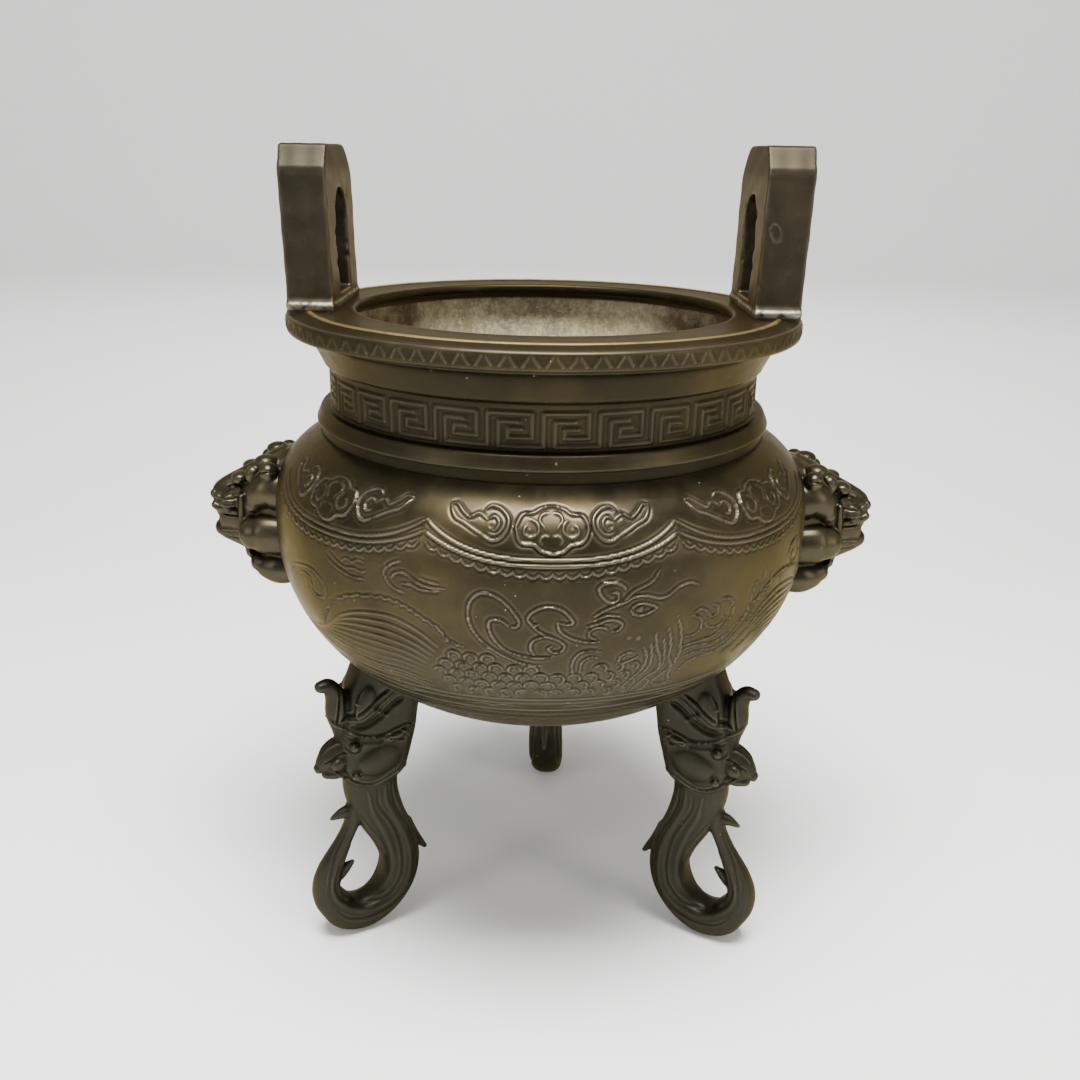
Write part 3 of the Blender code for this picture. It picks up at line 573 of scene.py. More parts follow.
def wall_radius(level):
    """Outer radius of the belly and the shoulder at a height."""
    level = np.asarray(level, float)
    up = np.clip((level - BELLY_LEVEL) / SHOULDER_CROWN, 0.0, 1.0)
    down = np.clip((BELLY_LEVEL - level) / BELLY_DEPTH, 0.0, 1.0)
    shoulder = (1.0 - up**SHOULDER_ROUNDNESS) ** (1.0 / SHOULDER_ROUNDNESS)
    belly = (1.0 - down**BELLY_ROUNDNESS) ** (1.0 / BELLY_ROUNDNESS)
    return BELLY_RADIUS * np.where(level > BELLY_LEVEL, shoulder, belly)


# Heights are closer together near the foot, where the wall turns level
table_levels = FOOT_LEVEL + (SHOULDER_END - FOOT_LEVEL) * np.linspace(0.0, 1.0, 1500) ** 2
table_radii = wall_radius(table_levels)
table_lengths = np.concatenate([[0.0], np.cumsum(np.hypot(np.diff(table_levels), np.diff(table_radii)))])


def length_at(level):
    """Distance over the wall from the bowl's foot to a height, in mm."""
    return np.interp(level, table_levels, table_lengths)


def level_at(length):
    return np.interp(length, table_lengths, table_levels)


def rounded(corners, steps=4):
    """A profile of (radius, height, rounding) corners, each cut by a short curve."""
    made = []
    for index, (radius, height, rounding) in enumerate(corners):
        here = np.array((radius, height))
        if rounding == 0.0 or index in (0, len(corners) - 1):
            made.append(here)
            continue
        before = np.array(corners[index - 1][:2]) - here
        after = np.array(corners[index + 1][:2]) - here
        start = here + before * min(0.45, rounding / np.hypot(*before))
        end = here + after * min(0.45, rounding / np.hypot(*after))
        for share in np.linspace(0.0, 1.0, steps):
            made.append((1 - share) ** 2 * start + 2 * share * (1 - share) * here + share**2 * end)
    return made


def filled_in(profile, spacing):
    """The profile with points added so that none are further apart than the spacing."""
    made = [np.asarray(profile[0], float)]
    for start, end in zip(profile, profile[1:]):
        count = max(1, math.ceil(np.hypot(*(np.asarray(end) - start)) / spacing))
        made += [start + (np.asarray(end) - start) * step / count for step in range(1, count + 1)]
    return made


def turned(name, profile, columns, packing, closed=True):
    """Spin a profile in mm round the axis. Azimuth 0 is the front, at -Y."""
    bm = bmesh.new()
    verts = [bm.verts.new((0.0, -radius * MM, height * MM)) for radius, height in profile]
    ring = verts + verts[:1] if closed else verts
    edges = [bm.edges.new(pair) for pair in zip(ring, ring[1:])]
    # An eighth is spun and then doubled three times, which is much quicker than one long spin
    eighth = math.tau / 8.0
    bmesh.ops.spin(bm, geom=verts + edges, cent=(0, 0, 0), axis=(0, 0, 1), angle=eighth, steps=columns // 8)
    for turn in (eighth, 2.0 * eighth, 4.0 * eighth):
        copy = bmesh.ops.duplicate(bm, geom=bm.verts[:] + bm.edges[:] + bm.faces[:])["geom"]
        bmesh.ops.rotate(
            bm, verts=[part for part in copy if isinstance(part, bmesh.types.BMVert)],
            cent=(0, 0, 0), matrix=Matrix.Rotation(turn, 3, "Z"),
        )
    bmesh.ops.remove_doubles(bm, verts=bm.verts, dist=0.002 * MM)
    bmesh.ops.recalc_face_normals(bm, faces=bm.faces)
    mesh = bpy.data.meshes.new(name)
    bm.to_mesh(mesh)
    bm.free()
    places = points_of(mesh)
    azimuth = np.arctan2(places[:, 0], -places[:, 1])
    azimuth -= packing * np.sin(azimuth)
    reach = np.hypot(places[:, 0], places[:, 1])
    move_points(mesh, np.column_stack([reach * np.sin(azimuth), -reach * np.cos(azimuth), places[:, 2]]))
    return mesh


def polar(mesh):
    """Azimuth in degrees from the front, radius and height in mm of each point."""
    places = points_of(mesh) / MM
    azimuth = np.degrees(np.arctan2(places[:, 0], -places[:, 1]))
    return azimuth, np.hypot(places[:, 0], places[:, 1]), places[:, 2]


print("wall from foot to lip:", round(float(table_lengths[-1]), 1), "mm")

# %% [markdown]
# ## What is carved on the belly
# In front a dragon looks left over water: its head and horns, a mane of locks, and a back of scales.
# A wave breaks at the left, comma clouds hang before it, and another wave curls at the right. The
# shoulder has swags with a scalloped fringe, and a cloud head between two curls over each swag. Every
# path is given as (azimuth, height above the bowl's foot). Behind, the same waves and clouds go on
# without a dragon, plainer, as backs often are.

# %% Swags and clouds of the shoulder
SWAG_SPAN = 47.5
SWAG_TURN = 2.3
MASK_GAP = (360.0 - 6.0 * SWAG_SPAN) / 2.0
SCALLOPS = 20


def on_wall(points):
    """(azimuth, height above the foot) points as (azimuth, distance over the wall)."""
    points = np.asarray(points, float)
    return np.column_stack([points[:, 0], length_at(points[:, 1] + FOOT_LEVEL)])


def span_at(height):
    """How many mm a degree is at a height above the foot."""
    return float(wall_radius(height + FOOT_LEVEL)) * math.pi / 180.0


def swag_centres():
    first = [SWAG_TURN + SWAG_SPAN * place for place in (-1.0, 0.0, 1.0)]
    return first + [centre + 3.0 * SWAG_SPAN + MASK_GAP for centre in first]


def carve_swag(carving, centre):
    across = np.linspace(-1.0, 1.0, 41)
    azimuth = centre + 0.5 * SWAG_SPAN * across
    for low, sag, power in ((90.3, 8.6, 2.9), (88.5, 7.4, 2.7)):
        carving.thread(on_wall(np.column_stack([azimuth, low + sag * abs(across) ** power])), 1.05, 0.42, 0.02, 0.26)
    across = np.linspace(-0.97, 0.97, SCALLOPS * 6 + 1)
    hang = np.abs(np.sin(np.linspace(0.0, SCALLOPS * math.pi, len(across)))) ** 0.8
    fringe = 86.2 + 7.2 * abs(across) ** 2.2 - 1.1 * hang
    path = on_wall(np.column_stack([centre + 0.5 * SWAG_SPAN * across, fringe]))
    carving.thread(path, 0.75, 0.28, 0.01, 0.16)


def flat_shape(centre, points, side=1.0):
    """Points in mm, right and up from a centre on the wall."""
    middle = on_wall([centre])[0]
    span = span_at(centre[1])
    return np.array([(middle[0] + side * x / span, middle[1] + y) for x, y in points])


CLOUD_HEAD = (
    (-10.4, 0.5), (-8.6, 4.4), (-5.4, 5.0), (-2.6, 6.8), (0.6, 7.4), (4.0, 6.4), (6.2, 4.6), (9.6, 4.0), (11.0, 0.2),
    (9.2, -3.8), (5.6, -4.8), (3.4, -6.6), (0.4, -7.2), (-2.8, -6.4), (-5.0, -4.6), (-8.8, -4.0), (-10.4, 0.5),
)
# Threads beside and inside the cloud's head, for its right side
CLOUD_LINES = (
    (1.0, 0.7, ((0.4, 5.2), (2.6, 4.6), (3.4, 2.6), (2.2, 0.8), (1.4, -0.8))),
    (0.9, 0.6, ((0.0, -2.6), (2.0, -2.2), (3.2, -3.6), (2.2, -5.0))),
    (1.2, 0.62, ((20.3, 5.6), (18.4, 7.0), (15.6, 6.4), (13.0, 3.6), (12.7, 0.4), (14.4, -2.8), (17.2, -3.9), (20.3, -2.4))),
    (0.95, 0.5, ((19.2, 2.5), (16.9, 3.6), (15.4, 1.6), (16.4, -0.6), (18.6, -0.2))),
    (1.0, 0.5, ((19.2, 2.5), (21.8, 4.3), (24.4, 2.9), (27.0, 4.4), (29.5, 6.9), (31.7, 6.8))),
    (1.1, 0.55, ((20.3, -2.4), (22.9, -0.9), (26.0, 0.9), (29.1, 2.4), (31.4, 6.0))),
)


def carve_cloud(carving, centre):
    """A cloud head of four lobes, with a curl and a leaf at each side."""
    middle = (centre - 0.3, 98.6)
    head = flat_shape(middle, curve(CLOUD_HEAD, 4))
    carving.mound(head, 0.3, 1.4)
    carving.thread(head, 1.1, 0.7, 0.0, 0.3)
    for side in (-1.0, 1.0):
        lobe = flat_shape(middle, [(side * 6.3, -0.3)])[0]
        carving.thread(coil(lobe, 3.3, 100.0, side * 0.95, span_at(98.6), 0.4), 1.0, 0.75, 0.1, 0.2)
        carving.thread([lobe, lobe + (0.01, 0.0)], 2.2, 0.95, 0.0)
        for width, height, points in CLOUD_LINES:
            carving.thread(flat_shape(middle, curve(points, 5), side), width, height, 0.15, 0.22)


print("swags at", [round(centre, 1) for centre in swag_centres()])

# %% The dragon, its water and its clouds
# Each row is width, height of relief, and the points of one thread
DRAGON = (
    (0.95, 0.5, ((9.6, 72.6), (11.1, 74.3), (13.4, 75.9), (15.5, 77.0), (16.8, 78.2), (19.2, 78.2), (21.8, 76.9), (23.8, 77.6), (25.5, 79.5), (28.0, 80.4), (29.8, 79.2))),
    (0.95, 0.5, ((14.9, 77.0), (16.7, 80.0), (18.9, 81.5), (20.5, 83.0), (21.6, 85.6))),
    (0.95, 0.5, ((15.4, 80.3), (14.8, 82.0), (13.2, 83.3), (11.5, 83.1), (10.4, 81.7), (11.1, 78.9), (12.6, 77.0), (13.9, 77.9), (13.8, 80.0), (12.6, 80.3))),
    (0.9, 0.45, ((8.2, 69.4), (9.6, 70.0), (10.8, 70.6), (12.2, 71.5), (14.0, 71.0), (14.9, 69.6), (14.3, 67.9), (13.0, 67.4))),
    (0.8, 0.4, ((10.3, 72.0), (12.1, 72.9), (14.6, 72.3))),
    (0.8, 0.42, ((8.9, 67.6), (9.7, 68.9), (11.2, 69.2), (12.5, 68.1))),
    (0.85, 0.5, ((16.4, 74.0), (17.0, 75.4), (18.4, 75.9), (20.0, 75.2), (21.3, 74.0), (20.0, 72.7), (18.3, 72.0), (16.9, 72.7), (16.4, 74.0))),
    (0.9, 0.42, ((21.6, 65.6), (22.3, 60.0), (23.5, 55.7), (24.0, 50.7), (21.6, 47.1), (19.4, 41.2))),
    (0.9, 0.42, ((24.2, 66.4), (25.2, 60.6), (25.5, 55.0), (26.6, 51.0), (25.4, 48.2), (23.0, 44.5))),
    (0.8, 0.34, ((23.3, 63.4), (24.3, 57.4), (24.6, 52.2), (23.4, 48.4), (21.2, 44.8))),
    (0.9, 0.4, ((25.8, 70.0), (26.9, 65.0), (27.5, 59.4), (27.6, 54.2), (26.9, 49.6), (27.2, 45.5), (29.2, 41.4))),
    (0.8, 0.36, ((19.6, 60.8), (20.6, 56.6), (20.2, 51.4), (17.9, 46.3), (16.9, 41.8))),
    (0.8, 0.34, ((21.0, 61.5), (21.7, 56.0), (21.3, 51.2), (18.9, 47.0))),
    (0.85, 0.4, ((26.6, 47.8), (27.8, 44.1), (26.4, 42.3), (24.1, 43.4), (23.4, 45.1), (24.7, 45.6))),
    (0.8, 0.36, ((23.0, 46.0), (22.4, 43.0), (21.0, 40.8))),
    (0.8, 0.42, ((6.7, 51.0), (6.3, 56.4), (7.4, 60.2), (9.4, 61.1), (11.6, 60.3))),
    (0.8, 0.36, ((7.9, 52.5), (8.0, 56.5), (9.5, 58.6), (11.0, 58.2))),
    (0.8, 0.38, ((15.0, 55.6), (15.3, 58.0), (16.7, 59.2), (17.9, 58.7))),
    (0.8, 0.36, ((15.6, 55.0), (17.8, 56.3), (19.0, 57.6))),
)
CLOUDS = (
    (0.95, 0.48, ((-5.1, 69.4), (-3.8, 69.6), (-3.4, 71.4), (-4.4, 74.2), (-6.0, 77.3), (-8.0, 79.4), (-10.4, 79.6), (-12.1, 76.7), (-12.5, 72.4), (-11.9, 68.2), (-10.4, 64.4), (-8.6, 61.6), (-6.0, 58.8), (-2.6, 56.3), (0.6, 55.6))),
    (0.9, 0.46, ((-5.1, 69.4), (-6.6, 71.4), (-8.5, 71.2), (-8.7, 68.2), (-7.7, 64.4), (-5.7, 61.0), (-2.6, 59.2), (0.3, 58.7), (2.9, 59.2))),
    (0.9, 0.46, ((0.2, 70.8), (-0.9, 70.2), (-1.9, 72.4), (-0.8, 74.9), (1.3, 76.3), (3.7, 75.6), (5.2, 73.4), (6.0, 71.2), (5.0, 70.4), (3.2, 71.4))),
    (0.85, 0.42, ((-1.7, 72.2), (-0.8, 69.6), (0.9, 67.2), (2.8, 66.0))),
    (0.9, 0.46, ((3.2, 71.4), (3.9, 68.1), (6.1, 65.6), (8.8, 64.3), (10.9, 64.2))),
    (0.85, 0.42, ((8.9, 68.0), (9.1, 66.2), (10.4, 64.9))),
    (0.85, 0.42, ((-0.6, 59.4), (-1.4, 62.4), (-0.8, 65.1), (1.2, 66.4), (3.3, 65.4), (4.6, 63.6), (4.3, 61.4), (2.8, 60.8), (1.8, 62.2), (2.6, 63.3))),
    (0.85, 0.4, ((-25.2, 86.2), (-27.2, 84.9), (-28.8, 82.4), (-28.5, 79.6), (-26.8, 77.0), (-24.5, 76.4))),
    (0.85, 0.4, ((-27.4, 80.2), (-26.4, 82.2), (-24.8, 82.7), (-23.2, 81.6), (-21.8, 80.2), (-19.4, 79.4), (-16.4, 79.8))),
    (0.8, 0.36, ((-25.4, 79.0), (-23.4, 79.4), (-21.6, 78.4), (-19.4, 78.4), (-17.2, 79.0))),
    (0.8, 0.3, ((-21.8, 82.0), (-19.8, 81.2), (-17.8, 81.0))),
    (0.8, 0.3, ((-44.4, 81.2), (-42.4, 79.2), (-39.1, 77.6), (-36.4, 77.1), (-33.4, 77.6))),
    (0.8, 0.3, ((-43.4, 82.6), (-41.4, 80.8), (-38.6, 79.4), (-36.2, 80.0), (-34.4, 79.6), (-32.9, 80.6))),
    (0.8, 0.3, ((-39.4, 81.0), (-38.0, 82.6), (-36.6, 81.8), (-35.2, 83.2), (-33.6, 83.0))),
    (0.9, 0.3, ((-61.3, 66.0), (-58.0, 70.4), (-54.0, 72.6), (-49.8, 73.6), (-46.6, 72.0), (-44.9, 69.1), (-45.6, 65.6), (-48.4, 64.6), (-50.6, 66.2), (-50.2, 69.6), (-52.8, 70.6), (-55.4, 68.6))),
)
WAVES = (
    (0.8, 0.4, ((35.4, 71.9), (37.3, 72.1), (38.9, 69.4), (39.0, 64.7), (36.9, 60.9), (35.0, 59.0), (31.1, 58.6), (27.9, 58.1))),
    (0.8, 0.38, ((29.4, 69.7), (30.7, 70.7), (32.1, 69.7), (33.4, 67.2), (35.0, 67.6), (35.0, 70.2), (33.4, 71.4))),
    (0.8, 0.38, ((28.8, 69.4), (30.9, 67.4), (31.6, 64.2), (30.2, 61.8), (27.6, 61.9))),
    (0.8, 0.36, ((32.0, 66.0), (33.2, 63.4), (35.6, 62.6), (37.2, 64.4), (36.2, 66.4))),
    (0.8, 0.34, ((27.6, 56.0), (30.4, 57.1), (34.1, 56.6), (37.2, 56.8), (39.8, 58.6))),
    (0.8, 0.34, ((28.6, 53.4), (32.0, 54.6), (35.6, 53.8), (39.0, 55.2), (41.0, 57.6))),
    (0.85, 0.38, ((48.0, 78.5), (47.9, 73.5), (47.0, 67.4), (45.0, 61.2), (41.5, 55.7), (38.1, 52.4), (31.1, 51.2), (28.6, 46.0))),
    (0.85, 0.36, ((46.0, 75.4), (44.6, 70.4), (43.4, 63.5), (40.6, 57.0), (38.6, 54.4))),
    (0.85, 0.34, ((50.8, 76.0), (50.6, 69.6), (48.0, 60.8), (44.0, 53.6), (39.0, 49.0))),
    (0.85, 0.34, ((56.0, 72.0), (54.0, 63.0), (50.0, 54.6), (44.0, 47.6))),
    (0.9, 0.36, ((58.0, 76.0), (60.5, 80.0), (64.0, 80.6), (66.4, 77.6), (65.0, 73.4), (61.8, 72.6), (60.4, 75.4), (62.2, 77.4))),
)
DRAGON_BEADS = ((18.1, 74.0, 1.0), (18.2, 64.3, 0.9), (16.4, 64.8, 0.7), (9.9, 71.6, 0.6), (15.1, 77.0, 0.7), (-27.0, 89.2, 0.5))


def carve_figures(carving, rows, turn=0.0, side=1.0, lower=1.0):
    """Threads of the given figures, turned round the bowl or mirrored."""
    for width, height, points in rows:
        moved = [(turn + side * azimuth, level) for azimuth, level in points]
        carving.thread(on_wall(curve(moved)), 0.9 * width, 0.85 * height * lower, 0.08, 0.17 * lower)


def carve_wave(carving, turn=0.0, side=1.0):
    """A breaking wave: a bumpy crest over nested lines that run together at its foot."""

    def put(points):
        return on_wall([(turn + side * azimuth, level) for azimuth, level in points])

    crest = curve(((-50.0, 52.0), (-46.4, 59.4), (-42.3, 65.6), (-37.2, 70.0), (-31.3, 72.2), (-27.4, 72.4), (-24.0, 71.0), (-21.2, 68.7), (-18.2, 65.9), (-16.6, 62.4), (-13.6, 60.2)), 10)
    crest[:, 1] += 0.7 * np.abs(np.sin(np.arange(len(crest)) * 0.62))
    carving.thread(put(crest), 0.75, 0.34, 0.05, 0.18)
    outer = np.array(((-46.7, 52.5), (-42.7, 59.5), (-36.1, 65.0), (-28.5, 67.0), (-22.9, 64.6), (-18.4, 59.2)))
    inner = np.array(((-56.0, 50.0), (-50.0, 48.8), (-41.3, 47.3), (-34.1, 47.0), (-28.4, 47.6), (-23.6, 46.4)))
    for share in np.linspace(0.0, 1.0, 8):
        path = curve(outer + (inner - outer) * share)
        carving.thread(put(path), 1.7, 0.4 - 0.12 * share, 0.15, soft=True)
        carving.groove(put(path + (0.0, 0.95)), 0.8, 0.2, 0.15)
    low = np.array(((-66.0, 50.0), (-56.0, 45.6), (-46.0, 43.0), (-36.0, 42.2), (-28.0, 42.6), (-20.4, 39.0)))
    for share in np.linspace(0.0, 1.0, 4):
        carving.groove(put(curve(inner + (low - inner) * share)), 1.1, 0.34, 0.1)


def carve_scales(carving, seed=3):
    """Rows of scales over the dragon's back, each a hook that faces a little its own way."""
    draw = np.random.default_rng(seed)
    edge = curve(((-19.5, 50.0), (-17.0, 57.0), (-13.0, 60.0), (-9.0, 58.4), (-5.0, 54.6), (-1.0, 53.6), (5.5, 52.0), (12.0, 54.4), (17.6, 56.4), (20.4, 52.6), (18.6, 46.4), (15.6, 41.8), (4.0, 39.8), (-12.0, 40.4), (-19.0, 44.0), (-19.5, 50.0)))
    row = 0
    height = 42.8
    while height < 60.0:
        azimuth = -19.0 + (row % 2) * 1.6
        while azimuth < 21.0:
            inside = False
            for start, end in zip(edge, edge[1:]):
                if (start[1] > height) != (end[1] > height):
                    at = start[0] + (height - start[1]) * (end[0] - start[0]) / (end[1] - start[1])
                    inside ^= azimuth < at
            size = 2.25 - 0.012 * abs(azimuth) + draw.uniform(-0.15, 0.15)
            turn = draw.uniform(-16.0, 16.0) + (40.0 if row else 100.0) * (azimuth < 0) - 35.0 * (azimuth > 12)
            if inside:
                centre = on_wall([(azimuth + draw.uniform(-0.15, 0.15), height + draw.uniform(-0.3, 0.3))])[0]
                wide = span_at(height)
                hook = coil(centre, size, 165.0 + turn, -0.6, wide, 0.85)
                carving.thread(hook, 0.8, 0.34, 0.2, 0.26)
                carving.groove(coil(centre, 0.52 * size, 150.0 + turn, -0.5, wide, 0.8), 0.7, 0.14, 0.2)
            azimuth += 3.25
        height += 3.5
        row += 1


def carve_foot_lines(carving):
    """Lines that ring the lower belly, with long water curls between them."""
    for level, depth in ((39.6, 0.45), (37.6, 0.3), (34.0, 0.4), (31.4, 0.22), (27.3, 0.5)):
        azimuth = np.linspace(-180.0, 180.0, 145)
        wander = level + (0.5 * np.sin(np.radians(azimuth * 3 + level * 20)) if level > 30.0 else 0.0 * azimuth)
        carving.groove(on_wall(np.column_stack([azimuth, wander])), 0.9, depth, 0.0)
    for azimuth in range(-170, 180, 20):
        path = curve(((azimuth - 5.0, 35.4), (azimuth - 1.6, 36.5), (azimuth + 0.4, 35.6), (azimuth + 2.6, 36.6), (azimuth + 6.0, 35.8)))
        carving.groove(on_wall(path), 0.8, 0.34, 0.2)


# %% Turn the belly and the shoulder, and carve them


def band_profile(low, high, rows, top_edge=()):
    """A closed ring of wall between two heights: outside up, inside down."""
    levels = level_at(np.linspace(length_at(low), length_at(high), rows))
    outer = list(zip(wall_radius(levels), levels))
    inner = [(float(wall_radius(level)) - WALL, level) for level in np.linspace(high, low, 6)]
    if top_edge:
        inner[0] = (inner[0][0], top_edge[-1][1])
    return outer + list(top_edge) + inner


def carve_wall(mesh, low, high):
    azimuth, radius, height = polar(mesh)
    outside = (radius > wall_radius(np.clip(height, FOOT_LEVEL, SHOULDER_END)) - 0.3) & (height < SHOULDER_END + 0.01)
    along = length_at(np.clip(height, FOOT_LEVEL, SHOULDER_END))
    carving = Carving(azimuth, along, np.maximum(radius, 60.0) * math.pi / 180.0)
    if high > 175.0:
        for centre in swag_centres():
            carve_cloud(carving, centre)
    for centre in swag_centres():
        carve_swag(carving, centre)
    carve_figures(carving, DRAGON)
    carve_figures(carving, CLOUDS)
    carve_figures(carving, WAVES)
    for spot_azimuth, level, size in DRAGON_BEADS:
        spot = on_wall([(spot_azimuth, level)])[0]
        carving.thread([spot, spot + (0.01, 0.0)], 2.0 * size, 0.7 * size, 0.0)
    for turn, side in ((168.0, 1.0), (192.0, -1.0)):
        carve_figures(carving, CLOUDS[-8:], turn + 12.0 * side, side, 0.8)
    if low < 130.0:
        carve_wave(carving)
        carve_wave(carving, 27.0, -1.0)
        carve_wave(carving, 168.0, 1.0)
        carve_wave(carving, 192.0, -1.0)
        carve_scales(carving)
        carve_foot_lines(carving)
    # Each casting is a little uneven, which shows in its highlights
    turned_by = np.radians(azimuth)
    waver = 0.10 * np.sin(turned_by * 3 + 0.7) * np.sin(height * 0.09) + 0.05 * np.sin(turned_by * 7) * np.cos(height * 0.17)
    lift = np.where(outside, carving.relief() + waver, 0.0)
    slope = (wall_radius(height + 0.05) - wall_radius(height - 0.05)) / 0.1
    steep = 1.0 / np.sqrt(1.0 + slope**2)
    ways = np.column_stack([np.sin(turned_by) * steep, -np.cos(turned_by) * steep, -slope * steep])
    move_points(mesh, points_of(mesh) + np.where(outside[:, None], ways, 0.0) * lift[:, None] * MM)
    seam = (np.abs(height - SHOULDER_FOOT) < 0.01) | ~outside
    mark_wear(mesh, 0.8, seam)


SHOULDER_EDGE = ((79.95, 194.1), (79.5, 194.3), (77.4, 194.3))
for band_name, columns, profile, low, high in (
    ("bowl_belly", 600, band_profile(LAST_GROOVE, SHOULDER_FOOT, 152), LAST_GROOVE, SHOULDER_FOOT),
    ("bowl_shoulder", 904, band_profile(SHOULDER_FOOT, SHOULDER_END, 74, SHOULDER_EDGE), SHOULDER_FOOT, SHOULDER_END),
):
    band_mesh = turned(band_name, profile, columns, FRONT_PACKING)
    carve_wall(band_mesh, low, high)
    finished(band_name, band_mesh, belly_bronze, "dark_bronze", "bowl")

# %% [markdown]
# ## The bowl's underside
# Below the last ringed line the bowl is plain. It is its own piece, so the belly's points can all be
# spent on the carving. Both meet inside that line, where a seam can't show.

# %% Underside
UNDERSIDE_ROWS = 26


def underside_profile():
    lengths = np.linspace(0.0, length_at(LAST_GROOVE), UNDERSIDE_ROWS)
    outer = [(float(wall_radius(level)), float(level)) for level in level_at(lengths)]
    outer[0] = (0.0, FOOT_LEVEL)
    inner_depth = BELLY_DEPTH - WALL
    inner = []
    for step in range(9):
        level = LAST_GROOVE + (BELLY_LEVEL - inner_depth - LAST_GROOVE) * (step / 8) ** 0.6
        share = min(1.0, (BELLY_LEVEL - level) / inner_depth)
        inner.append(((BELLY_RADIUS - WALL) * (1.0 - share**BELLY_ROUNDNESS) ** (1.0 / BELLY_ROUNDNESS), level))
    inner[-1] = (0.0, BELLY_LEVEL - inner_depth)
    return outer + inner


underside_mesh = turned("bowl_underside", underside_profile(), 304, FRONT_PACKING, closed=False)
mark_wear(underside_mesh, 0.75)
finished("bowl_underside", underside_mesh, belly_bronze, "dark_bronze", "bowl")

# %% [markdown]
# ## Neck and rim
# The neck carries a key fret: 28 square hooks, each a raised line that turns twice inwards. The rim's
# upright face is engraved with 84 pairs of slanting strokes, and a ridge runs round its top. The
# profile has each moulding as its own corner, with a rounding, because cast bronze has no knife edge.

# %% Turn the rim and carve it
FRET_UNITS = 28
FRET_PATH = ((0.57, 0.75), (0.2, 0.75), (0.2, 0.0), (1.0, 0.0), (1.0, 1.0), (1.8, 1.0), (1.8, 0.27), (1.37, 0.27), (1.37, 0.53), (1.63, 0.53))
FRET_FOOT = 204.5
FRET_HEIGHT = 10.2
FRET_TURN = 0.4
RIM_STROKES = 84

RIM_PROFILE = (
    (76.6, 193.4, 0.0), (79.6, 193.4, 0.2), (79.7, 197.7, 0.3), (81.1, 197.9, 0.3), (81.3, 198.8, 0.4), (79.6, 202.7, 0.6),
    (78.7, 203.1, 0.4), (76.6, 203.0, 0.5), (76.2, 203.8, 0.3), (76.2, 217.4, 0.3), (76.7, 218.0, 0.3),
    (77.9, 218.3, 0.45), (78.7, 220.2, 0.9), (80.9, 224.6, 2.0), (82.6, 227.2, 1.0), (83.9, 227.9, 0.5), (84.3, 229.2, 0.2),
    (89.2, 229.3, 0.6), (90.0, 230.2, 0.5), (90.0, 234.8, 0.5), (89.2, 235.5, 0.5), (86.4, 235.6, 0.6), (83.7, 236.2, 0.6),
    (82.5, 236.95, 0.5), (81.3, 236.35, 0.5), (79.0, 236.2, 0.8), (70.0, 236.15, 2.0), (67.0, 236.4, 0.7), (66.2, 235.7, 0.5),
    (66.2, 233.6, 0.7), (67.6, 232.6, 0.7), (71.2, 232.2, 0.8), (72.7, 230.8, 0.8), (72.7, 208.0, 1.0), (73.6, 199.0, 1.0), (74.8, 193.4, 0.0),
)


def rim_rows():
    made = []
    corners = rounded(RIM_PROFILE, 3)
    for start, end in zip(corners, corners[1:]):
        high = 0.5 * (start[1] + end[1])
        wide = 0.5 * (start[0] + end[0])
        carved = (203.5 < high < 218.0 and wide > 76.0) or (229.9 < high < 235.1 and wide > 89.5)
        spacing = 0.45 if carved else 6.0 if wide < 74.5 else 2.0
        made += filled_in([start, end], spacing)[:-1]
    return made + [corners[-1]]


def carve_rim(mesh):
    azimuth, radius, height = polar(mesh)
    carving = Carving(azimuth, height, radius * math.pi / 180.0)
    pitch = 360.0 / FRET_UNITS
    for unit in range(FRET_UNITS):
        path = [(FRET_TURN + (unit + across - 1.0) * pitch, FRET_FOOT + up * FRET_HEIGHT) for across, up in FRET_PATH]
        path = np.array([(a - 360.0 if path[0][0] > 180.0 else a, b) for a, b in path])
        carving.thread(path, 1.4, 0.42, 0.0, 0.12)
    stroke = 360.0 / RIM_STROKES
    for unit in range(RIM_STROKES):
        middle = -180.0 + (unit + 0.5) * stroke
        for side in (-1.0, 1.0):
            carving.thread(((middle + side * 0.05 * stroke, 234.3), (middle + side * 0.38 * stroke, 230.9)), 0.95, 0.28, 0.12)
    neck = (height > 203.6) & (height < 217.6) & (radius > 75.5)
    face = (height > 230.0) & (height < 235.0) & (radius > 89.3)
    lift = np.where(neck | face, carving.relief(), 0.0)
    # The band behind the fret is dressed slightly hollow, so the fret stands level with its borders
    dressed = np.where(neck, -0.25 * np.clip(np.minimum(height - 203.6, 217.6 - height) / 0.5, 0.0, 1.0), 0.0)
    waver = 0.12 * np.sin(np.radians(azimuth * 2 + 20)) + 0.06 * np.sin(np.radians(azimuth * 5))
    out = np.column_stack([np.sin(np.radians(azimuth)), -np.cos(np.radians(azimuth)), np.zeros(len(azimuth))])
    move_points(mesh, points_of(mesh) + out * ((lift + dressed) + waver * (radius > 75.0) * 0.5)[:, None] * MM)


rim_mesh = turned("bowl_rim", rim_rows(), 624, 0.45)
carve_rim(rim_mesh)
mark_wear(rim_mesh, 1.0)
finished("bowl_rim", rim_mesh, rim_bronze, "dark_bronze", "bowl", angle=75.0)

# %% [markdown]
# ## One skin round many lumps
# The legs and the masks were modelled in wax: limbs, lumps and pinches pressed together. The same
# way works here. Each limb is a circle that is extruded along a path, each lump is a sphere, and a
# voxel remesh draws one closed skin round all that overlap. The fine lines are carved on after it,
# because a remesh rubs out anything narrower than its voxel.

# %% Limbs and lumps


